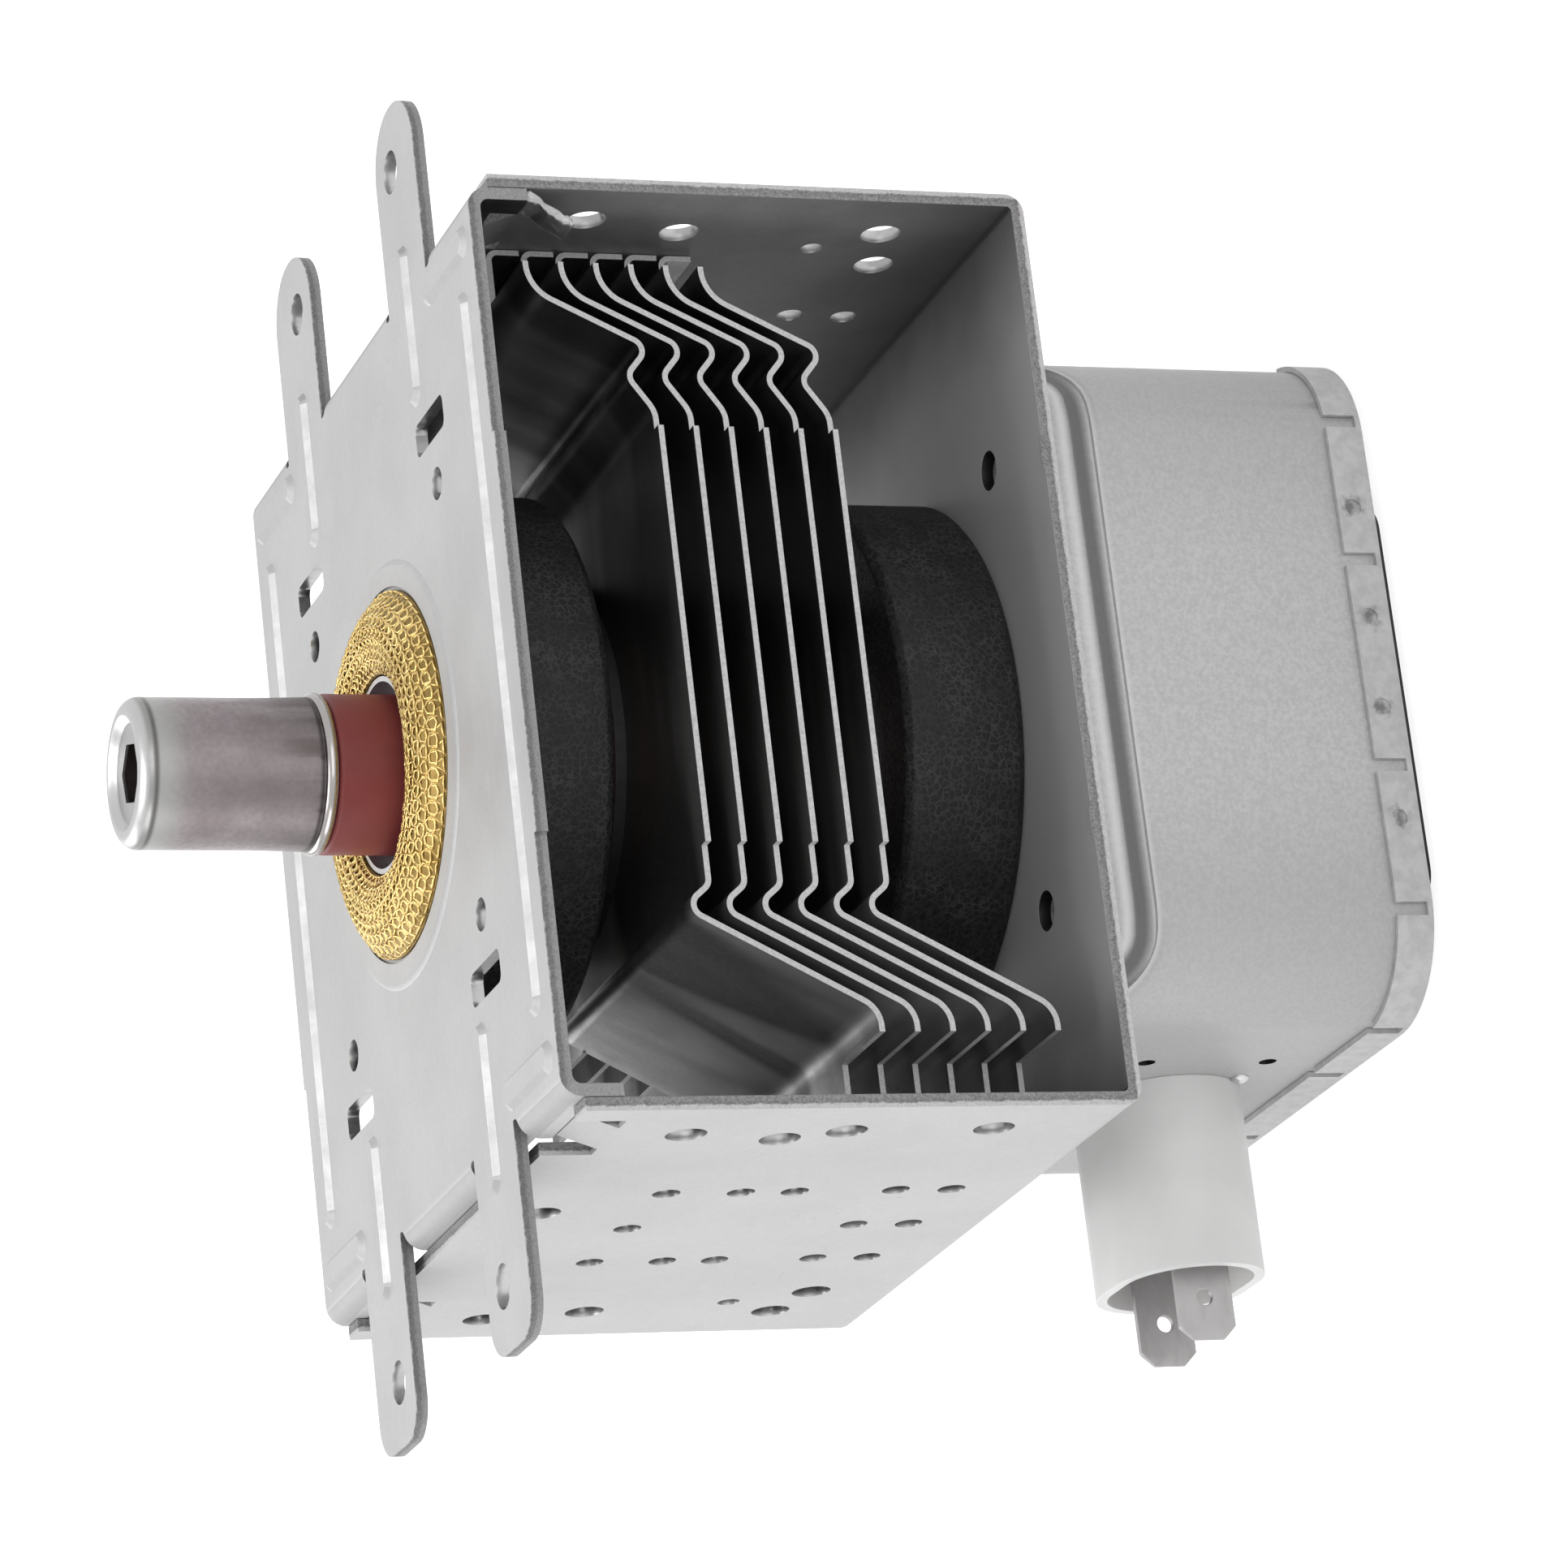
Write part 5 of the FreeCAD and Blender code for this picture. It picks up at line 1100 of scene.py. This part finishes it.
@dataclass
class Body:
    """Plate, yoke, magnets and fins."""

    wall: float = YOKE_WALL
    sheet: float = YOKE_SHEET
    base: float = YOKE_BASE
    half_depth: float = 42.0 * MM
    front_slack: float = 0.3 * MM
    slack: float = 0.06 * MM
    window: float = 26.9 * MM
    window_drop: float = 7.7 * MM
    wall_holes: Sequence[float] = (-55.0 * MM, -6.0 * MM)
    ear_hole: Sequence[float] = (60.0 * MM, 18.5 * MM)
    hole_radius: float = 2.5 * MM
    bead_foot: float = -0.02 * MM
    bead_half: float = 1.8 * MM
    round_bead: float = 29.0 * MM
    edge_bead: float = 37.2 * MM
    edge_bead_end: float = 34.0 * MM
    ear_bead: float = 19.6 * MM
    ear_bead_ends: Sequence[float] = (35.2 * MM, 49.0 * MM)
    corner_bead: float = 42.9 * MM
    corner_bead_ends: Sequence[float] = (27.5 * MM, 39.0 * MM)
    side_bend: float = 44.8 * MM
    collar: float = 20.3 * MM
    fin_reach: float = 46.0 * MM
    fin_count: int = 6

    def on_bead(self, middle: Vector, angle: float) -> bool:
        """Tell whether an edge of the plate runs along a pressed bead, the round one aside."""
        raised = middle.xy.length > self.round_bead and self.bead_foot < middle.z < 0.7 * MM
        return raised and math.radians(20) < angle < math.radians(60)

    def plate_cut(self, centre: Vector, normal: Vector) -> bool:
        """Tell whether a face of the plate was sheared."""
        flange = abs(normal.x) > 0.9 and abs(abs(centre.x) - self.wall + 0.8 * MM) < 0.9 * MM
        return abs(normal.z) < 0.3 and not flange

    def plate_hole(self, centre: Vector, normal: Vector) -> bool:
        """Tell whether a face lies in one of the plate's holes or slots.

        Args:
            centre: Middle of the face.
            normal: Which way the face looks.

        Returns:
            True for a face that is wanted.
        """
        across, along = self.ear_hole
        in_middle = abs(centre.x) < 45.0 * MM and abs(centre.y) < self.half_depth - 0.5 * MM
        in_ear = math.hypot(abs(centre.x) - across, abs(centre.y) - along) < self.hole_radius
        return abs(normal.z) < 0.3 and (in_middle or in_ear)

    def long_bead(self, centre: Vector, normal: Vector) -> bool:
        """Tell whether a face is on a flank of a bead that runs along the plate, which gets a painted
        highlight.

        Args:
            centre: Middle of the face.
            normal: Which way the face looks.

        Returns:
            True for a face that is wanted.
        """
        across, along = abs(centre.y), abs(centre.x)
        start, end = self.ear_bead_ends
        edge_bead = abs(across - self.edge_bead) < self.bead_half and along < self.edge_bead_end
        ear_bead = abs(across - self.ear_bead) < self.bead_half and start < along < end
        raised = self.bead_foot < centre.z < 0.75 * MM and 0.4 < normal.z < 0.992
        return raised and (edge_bead or ear_bead)

    def dull_bend(self, centre: Vector, normal: Vector) -> bool:
        """Tell whether a face is on a side bend or on a bead that runs across the plate.

        Args:
            centre: Middle of the face.
            normal: Which way the face looks.

        Returns:
            True for a face that is wanted.
        """
        across, along = abs(centre.y), abs(centre.x)
        start, end = self.corner_bead_ends
        tilted = 0.1 < normal.z < 0.985 and abs(normal.x) > 0.25
        corner_bead = abs(along - self.corner_bead) < 1.9 * MM and start < across < end
        return centre.z > -4.0 * MM and tilted and (along > self.side_bend or corner_bead)

    @staticmethod
    def plate_inside(centre: Vector, normal: Vector) -> bool:
        """Tell whether a face of the plate looks into the body."""
        return normal.z < -0.3 or centre.z < -1.5 * MM and normal.x * centre.x < 0.0 and abs(normal.x) > 0.3

    def yoke_inside(self, centre: Vector, normal: Vector) -> bool:
        """Tell whether a face of the yoke looks inward.

        Args:
            centre: Middle of the face.
            normal: Which way the face looks.

        Returns:
            True for a face that is wanted.
        """
        reach = self.wall + self.sheet / 2
        on_wall = normal.x * centre.x < 0.0 and abs(normal.x) > 0.2 and abs(centre.x) < reach
        on_base = normal.z > 0.2 and centre.z < self.base + self.sheet
        return on_wall or on_base

    def yoke_cut(self, centre: Vector, normal: Vector) -> bool:
        """Tell whether a face of the yoke was sheared."""
        on_wall = abs(centre.x) > self.wall - self.slack and centre.z > self.base + self.sheet / 2
        return abs(normal.y) > 0.96 or on_wall and abs(normal.x) < 0.2

    def yoke_hole(self, centre: Vector, normal: Vector) -> bool:
        """Tell whether a face lies in one of the round holes of the yoke's walls.

        Args:
            centre: Middle of the face.
            normal: Which way the face looks.

        Returns:
            True for a face that is wanted.
        """
        low, high = self.wall_holes
        at_front = abs(centre.y) > self.half_depth - self.front_slack
        in_window = abs(centre.y) > self.window and centre.z > -self.window_drop
        in_wall = abs(centre.x) > self.wall - self.slack and low < centre.z < high
        return in_wall and abs(normal.x) < 0.2 and not in_window and not at_front

    def base_hole(self, centre: Vector, normal: Vector) -> bool:
        """Tell whether a face lies in one of the holes of the yoke's base."""
        inner = abs(centre.y) < self.half_depth - self.front_slack and abs(centre.x) < self.wall - self.sheet
        return inner and centre.z < self.base + self.slack and abs(normal.z) < 0.2

    def fin_cut(self, centre: Vector, normal: Vector) -> bool:
        """Tell whether a face of a fin is an edge of its sheet."""
        flank = abs(normal.x) > 0.97 and self.collar < abs(centre.x) < self.fin_reach
        return abs(normal.y) > 0.97 and centre.xy.length > self.collar or flank

    def fin_collar(self, centre: Vector, normal: Vector) -> bool:
        """Tell whether a face belongs to the collar that grips the anode."""
        return centre.xy.length < self.collar and abs(normal.z) < 0.9

    def make(self, palette: Palette) -> None:
        """Build the body's pieces.

        Args:
            palette: The finishes.
        """
        # On the plate: painted highlight on the long beads' flanks, painted shade on its side bends, cross
        # beads and inward faces.
        plate_tests = (self.plate_cut, self.plate_hole, self.long_bead, self.dull_bend, self.plate_inside)
        DressedSheet("mounting_plate", "flange_plate", Slot.STEEL_SHEET, edge_width=0.16 * MM,
                     soft_edges=self.on_bead, tests=plate_tests,
                     ).make(palette.sheet, palette.plate_edge, palette.hole, palette.painted_bead_highlight, palette.dull_shaded_bend,
                            palette.tarnish_and_shade)
        # The yoke's inward faces take a darker copy of the sheet and its base holes near-black, both painted
        # shade.
        yoke_tests = (self.yoke_inside, self.yoke_cut, self.yoke_hole, self.base_hole)
        DressedSheet("yoke", "yoke_frame", Slot.STEEL_SHEET, edge_width=0.18 * MM, tests=yoke_tests,
                     ).make(palette.sheet, palette.inside, palette.edge, palette.hole, palette.tarnish_and_shade)
        for side in ("upper", "lower"):
            DressedSheet(f"{side}_magnet", f"{side}_ring_magnet", Slot.FERRITE, edge_width=0.25 * MM,
                         ).make(palette.ferrite)
        # The fins are painted dark as shade, and their collars near-black as painted shade.
        for number in range(1, self.fin_count + 1):
            DressedSheet(f"cooling_fin_{number}", f"fin_{number}", Slot.FIN_ALUMINIUM,
                         edge_width=0.09 * MM, tests=(self.fin_cut, self.fin_collar),
                         ).make(palette.fin, palette.fin_edge, palette.tarnish_and_shade)


@dataclass
class FilterEnd:
    """The closed filter box with its lid, connector and blades."""

    wall: float = 36.4 * MM
    sheet: float = 0.6 * MM
    half_depth: float = 36.2 * MM
    rim: float = -97.4 * MM
    groove: Sequence[float] = (-72.0 * MM, -62.1 * MM)
    rivets_reach: float = 20.0 * MM

    def on_groove(self, middle: Vector, angle: float) -> bool:
        """Tell whether an edge of the can runs along the pressed groove.

        Args:
            middle: Middle of the edge.
            angle: Angle between its two faces.

        Returns:
            True for an edge that is wanted.
        """
        low, high = self.groove
        on_face = abs(middle.y) > self.half_depth - 0.5 * MM and abs(middle.x) < self.wall - 1.0 * MM
        return on_face and low < middle.z < high and angle > math.radians(60)

    def rivet_hole(self, centre: Vector, normal: Vector) -> bool:
        """Tell whether a face lies in a hole of the connector's wall."""
        in_wall = -self.wall - 0.01 * MM < centre.x < self.sheet - self.wall and abs(normal.x) < 0.2
        return in_wall and abs(centre.y) < self.rivets_reach and centre.z > self.rim + 1.0 * MM

    def panel_flank(self, centre: Vector, normal: Vector) -> bool:
        """Tell whether a face is on the side of the lid's panel."""
        return centre.z < self.rim - self.sheet - 0.05 * MM and abs(normal.z) < 0.5

    def make(self, palette: Palette) -> None:
        """Build the filter end's pieces.

        Args:
            palette: The finishes.
        """
        # The holes of the connector's wall and the flanks of the lid's panel get near-black painted shade.
        DressedSheet("filter_box", "filter_can", Slot.BOX_SHEET, edge_width=0.1 * MM,
                     soft_width=0.2 * MM, soft_edges=self.on_groove, tests=(self.rivet_hole,),
                     ).make(palette.box, palette.tarnish_and_shade)
        DressedSheet("filter_box_lid", "can_lid", Slot.BOX_SHEET, edge_width=0.15 * MM,
                     tests=(self.panel_flank,)).make(palette.lid, palette.tarnish_and_shade)
        DressedSheet("connector_housing", "connector_shell", Slot.CONNECTOR_PLASTIC,
                     edge_width=0.2 * MM).make(palette.plastic)
        for word in ("near", "far"):
            DressedSheet(f"spade_terminal_{word}", f"blade_{word}", Slot.TINNED, edge_width=0.12 * MM,
                         ).make(palette.tinned)


@dataclass
class SmallForms:
    """Forms too small for the solids: a crushed lug, two coined nibs and a rivet's head."""

    lug_root: Sequence[float] = (47.0 * MM, -40.2 * MM, -6.55 * MM)
    lug_size: Sequence[float] = (1.1 * MM, 3.5 * MM, 0.5 * MM)
    lug_steps: Sequence[tuple[float, float]] = (
        (-0.7 * MM, -1.1 * MM), (-1.0 * MM, -1.0 * MM), (-0.7 * MM, -1.2 * MM), (-0.3 * MM, -1.0 * MM))
    lug_dents: float = 0.32 * MM
    lug_seed: int = 17
    nib_middles: Sequence[float] = (20.25 * MM, -19.55 * MM)
    nib_size: Sequence[float] = (2.3 * MM, 0.12 * MM, 0.42 * MM)
    nib_level: float = -59.1 * MM
    front: float = -41.95 * MM
    rivet_place: Sequence[float] = (-36.4 * MM, -8.75 * MM, -86.8 * MM)
    rivet_size: Sequence[float] = (0.6 * MM, 1.0 * MM, 1.0 * MM)
    round_angle: float = 60.0

    @staticmethod
    def settled(name: str) -> Piece:
        """Name the primitive that was just added, and put its place and size in its mesh.

        Args:
            name: Name of the piece.

        Returns:
            The piece.
        """
        piece = bpy.context.object
        piece.name = name
        bpy.ops.object.transform_apply(location=True, rotation=True, scale=True)
        return piece

    def crushed_lug(self, palette: Palette) -> None:
        """Build the end of the plate's front lug that was crushed in below the corner.

        Args:
            palette: The finishes.
        """
        bpy.ops.mesh.primitive_cube_add(size=1.0, location=self.lug_root, scale=self.lug_size)
        piece = self.settled("crushed_lug")
        with Bench.editing(piece):
            Bench.pick_faces(piece, lambda centre, normal: normal.z < -0.9)
            for inward, down in self.lug_steps:
                bpy.ops.mesh.extrude_region_move(TRANSFORM_OT_translate={"value": (inward, 0.0, down)})
            bpy.ops.mesh.select_all(action="SELECT")
            bpy.ops.mesh.subdivide(number_cuts=2)
            # New vertices come in another order on each run, and the dents are drawn in that order
            bpy.ops.mesh.sort_elements(type="CURSOR_DISTANCE", elements={"VERT"})
            bpy.ops.transform.vertex_random(offset=self.lug_dents, uniform=0.8, normal=0.0,
                                            seed=self.lug_seed)
        Bench.modify(piece, "SUBSURF", levels=2)
        Bench.smooth(piece, self.round_angle)
        Bench.coat(piece, palette.iron)
        Bench.file(piece, Slot.STEEL_SHEET)

    def dome(self, name: str, place: Sequence[float], size: Sequence[float], finish: Material) -> None:
        """Build a rounded form and file it.

        Args:
            name: Name of the piece.
            place: Its middle.
            size: Its half lengths.
            finish: Its finish.
        """
        bpy.ops.mesh.primitive_uv_sphere_add(segments=24, ring_count=14, radius=1.0, location=place,
                                             scale=size)
        piece = self.settled(name)
        Bench.smooth(piece, self.round_angle)
        Bench.coat(piece, finish)
        Bench.file(piece, Slot.STEEL_SHEET)

    def make(self, palette: Palette) -> None:
        """Build the small forms.

        Args:
            palette: The finishes.
        """
        self.crushed_lug(palette)
        for number, middle in enumerate(self.nib_middles, start=1):
            self.dome(f"coined_nib_{number}", (middle, self.front, self.nib_level), self.nib_size,
                      palette.edge)
        self.dome("rivet_head", self.rivet_place, self.rivet_size, palette.silver)


@dataclass
class Insides:
    """Solids that are shown as they are, with the finish of their material."""

    finishes: dict[str, str] = field(default_factory=lambda: {
        "anode_cylinder": "dull_copper", "anode_vane": "copper", "strap": "copper", "exhaust_tube": "copper",
        "antenna_lead": "copper", "pole_piece": "iron", "filament": "tungsten", "end_hat": "tungsten",
        "centre_lead": "tungsten", "side_lead": "tungsten", "input_seal_cup": "silver",
        "stem_terminal": "silver", "stem_ceramic": "white", "capacitor_body": "white",
        "capacitor_flange": "tarnish_and_shade", "ferrite_core": "soft_ferrite", "choke_coil": "enamel",
    })

    def make(self, palette: Palette, nodes: dict[str, Piece]) -> None:
        """Give every solid that is still shown its finish.

        Args:
            palette: The finishes.
            nodes: The solids by name.
        """
        for name, solid in nodes.items():
            word = next((key for key in self.finishes if key in name), None)
            if word is None:
                continue
            finish = getattr(palette, self.finishes[word])
            for item in solid.material_slots:
                item.material = finish
            LOG.info("%s: %s", name, finish.name)


@dataclass
class Studio:
    """Camera, floor, backdrop and lights."""

    camera_place: Sequence[float] = (-0.220460, -0.611611, 0.197050)
    camera_turn: Sequence[float] = (0.0164036, 1.2169804, -1.8982352)
    camera_range: Sequence[float] = (0.01, 20.0)
    lens: float = 150.194
    sensor: float = 36.0
    floor_level: float = -99.2 * MM
    floor_side: float = 6.0
    floor_paint: Colour = grey(0.82)
    floor_lift: float = 0.75
    sky_light: float = 0.32
    lamps: Sequence[tuple[str, Sequence[float], Sequence[float], float, float]] = (
        ("overhead", (-0.15, 0.10, 1.15), (0, 0, -0.03), 0.7, 5.6),
        ("behind", (-0.30, 1.10, 0.55), (0, 0, -0.02), 0.6, 3.0),
        ("side", (-1.1, 0.0, 0.12), (0, 0, -0.04), 0.8, 3.9),
        ("front", (0.0, -1.5, 0.30), (0, 0, -0.04), 1.2, 5.5),
    )

    def camera(self) -> None:
        """Set the camera where the photograph was taken from, rolled as it was."""
        bpy.ops.object.camera_add(location=self.camera_place, rotation=self.camera_turn)
        camera = bpy.context.object
        camera.name = "photo_camera"
        camera.data.sensor_width = self.sensor
        camera.data.lens = self.lens
        camera.data.clip_start, camera.data.clip_end = self.camera_range
        bpy.context.scene.camera = camera

    @staticmethod
    def shown_rays(wiring: Wiring) -> Socket:
        """Return 1 on rays from the camera, off gloss or through glass.

        Args:
            wiring: The node tree to add to.

        Returns:
            The socket of the sum.
        """
        rays = wiring.node("ShaderNodeLightPath").outputs
        total = rays["Is Camera Ray"]
        for key in ("Is Glossy Ray", "Is Transmission Ray"):
            total = wiring.join("ADD", total, rays[key], use_clamp=True)
        return total

    def floor(self) -> None:
        """Lay the pale floor that keeps the part's shadow."""
        bpy.ops.mesh.primitive_plane_add(size=self.floor_side, location=(0, 0, self.floor_level))
        floor = bpy.context.object
        floor.name = "studio_floor"
        material = bpy.data.materials.new("pale_floor")
        material.use_nodes = True
        wiring = Wiring(material.node_tree)
        wiring.tree.nodes.clear()
        matt = wiring.node("ShaderNodeBsdfDiffuse", {"Color": (*self.floor_paint, 1.0)})
        lift = wiring.join("MULTIPLY", self.shown_rays(wiring), self.floor_lift)
        glow = wiring.node("ShaderNodeEmission", {"Strength": lift})
        both = wiring.node("ShaderNodeAddShader", {0: matt.outputs[0], 1: glow.outputs[0]})
        wiring.node("ShaderNodeOutputMaterial", {"Surface": both.outputs[0]})
        floor.data.materials.append(material)

    def sky(self) -> None:
        """Light the part evenly from all round, before a white background."""
        world = bpy.data.worlds.new("soft_surroundings")
        bpy.context.scene.world = world
        world.use_nodes = True
        wiring = Wiring(world.node_tree)
        background = wiring.tree.nodes["Background"].inputs
        strength = wiring.node("ShaderNodeMapRange", {"Value": self.shown_rays(wiring),
                                                      "To Min": self.sky_light, "To Max": 1.0})
        wiring.feed(background["Color"], (*grey(1.0), 1.0))
        wiring.feed(background["Strength"], strength.outputs["Result"])

    def lamp(self, name: str, place: Sequence[float], aim: Sequence[float], size: float,
             watts: float) -> None:
        """Hang one square soft lamp.

        Args:
            name: Name of the lamp.
            place: Where it hangs.
            aim: The point that it faces.
            size: Side of the square.
            watts: Power.
        """
        bpy.ops.object.light_add(type="AREA", location=place)
        lamp = bpy.context.object
        lamp.name = name
        lamp.data.shape = "SQUARE"
        lamp.data.size = size
        lamp.data.energy = watts
        lamp.rotation_euler = (Vector(aim) - Vector(place)).to_track_quat("-Z", "Y").to_euler()

    def make(self) -> None:
        """Build the studio."""
        self.camera()
        self.floor()
        self.sky()
        for values in self.lamps:
            self.lamp(*values)
        bpy.context.scene.view_settings.view_transform = "Standard"


def main(nodes: dict[str, Piece]) -> None:
    """Build the studio and dress the part, one sub-assembly after another.

    Args:
        nodes: The solids by name.
    """
    logging.basicConfig(level=logging.INFO, format="%(name)s: %(message)s")
    Bench.clear()
    Studio().make()
    palette = Palette()
    for assembly in (Output(), Body(), FilterEnd(), SmallForms()):
        assembly.make(palette)
    Insides().make(palette, nodes)


if __name__ == "__main__":
    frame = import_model()
    main(frame["nodes"])
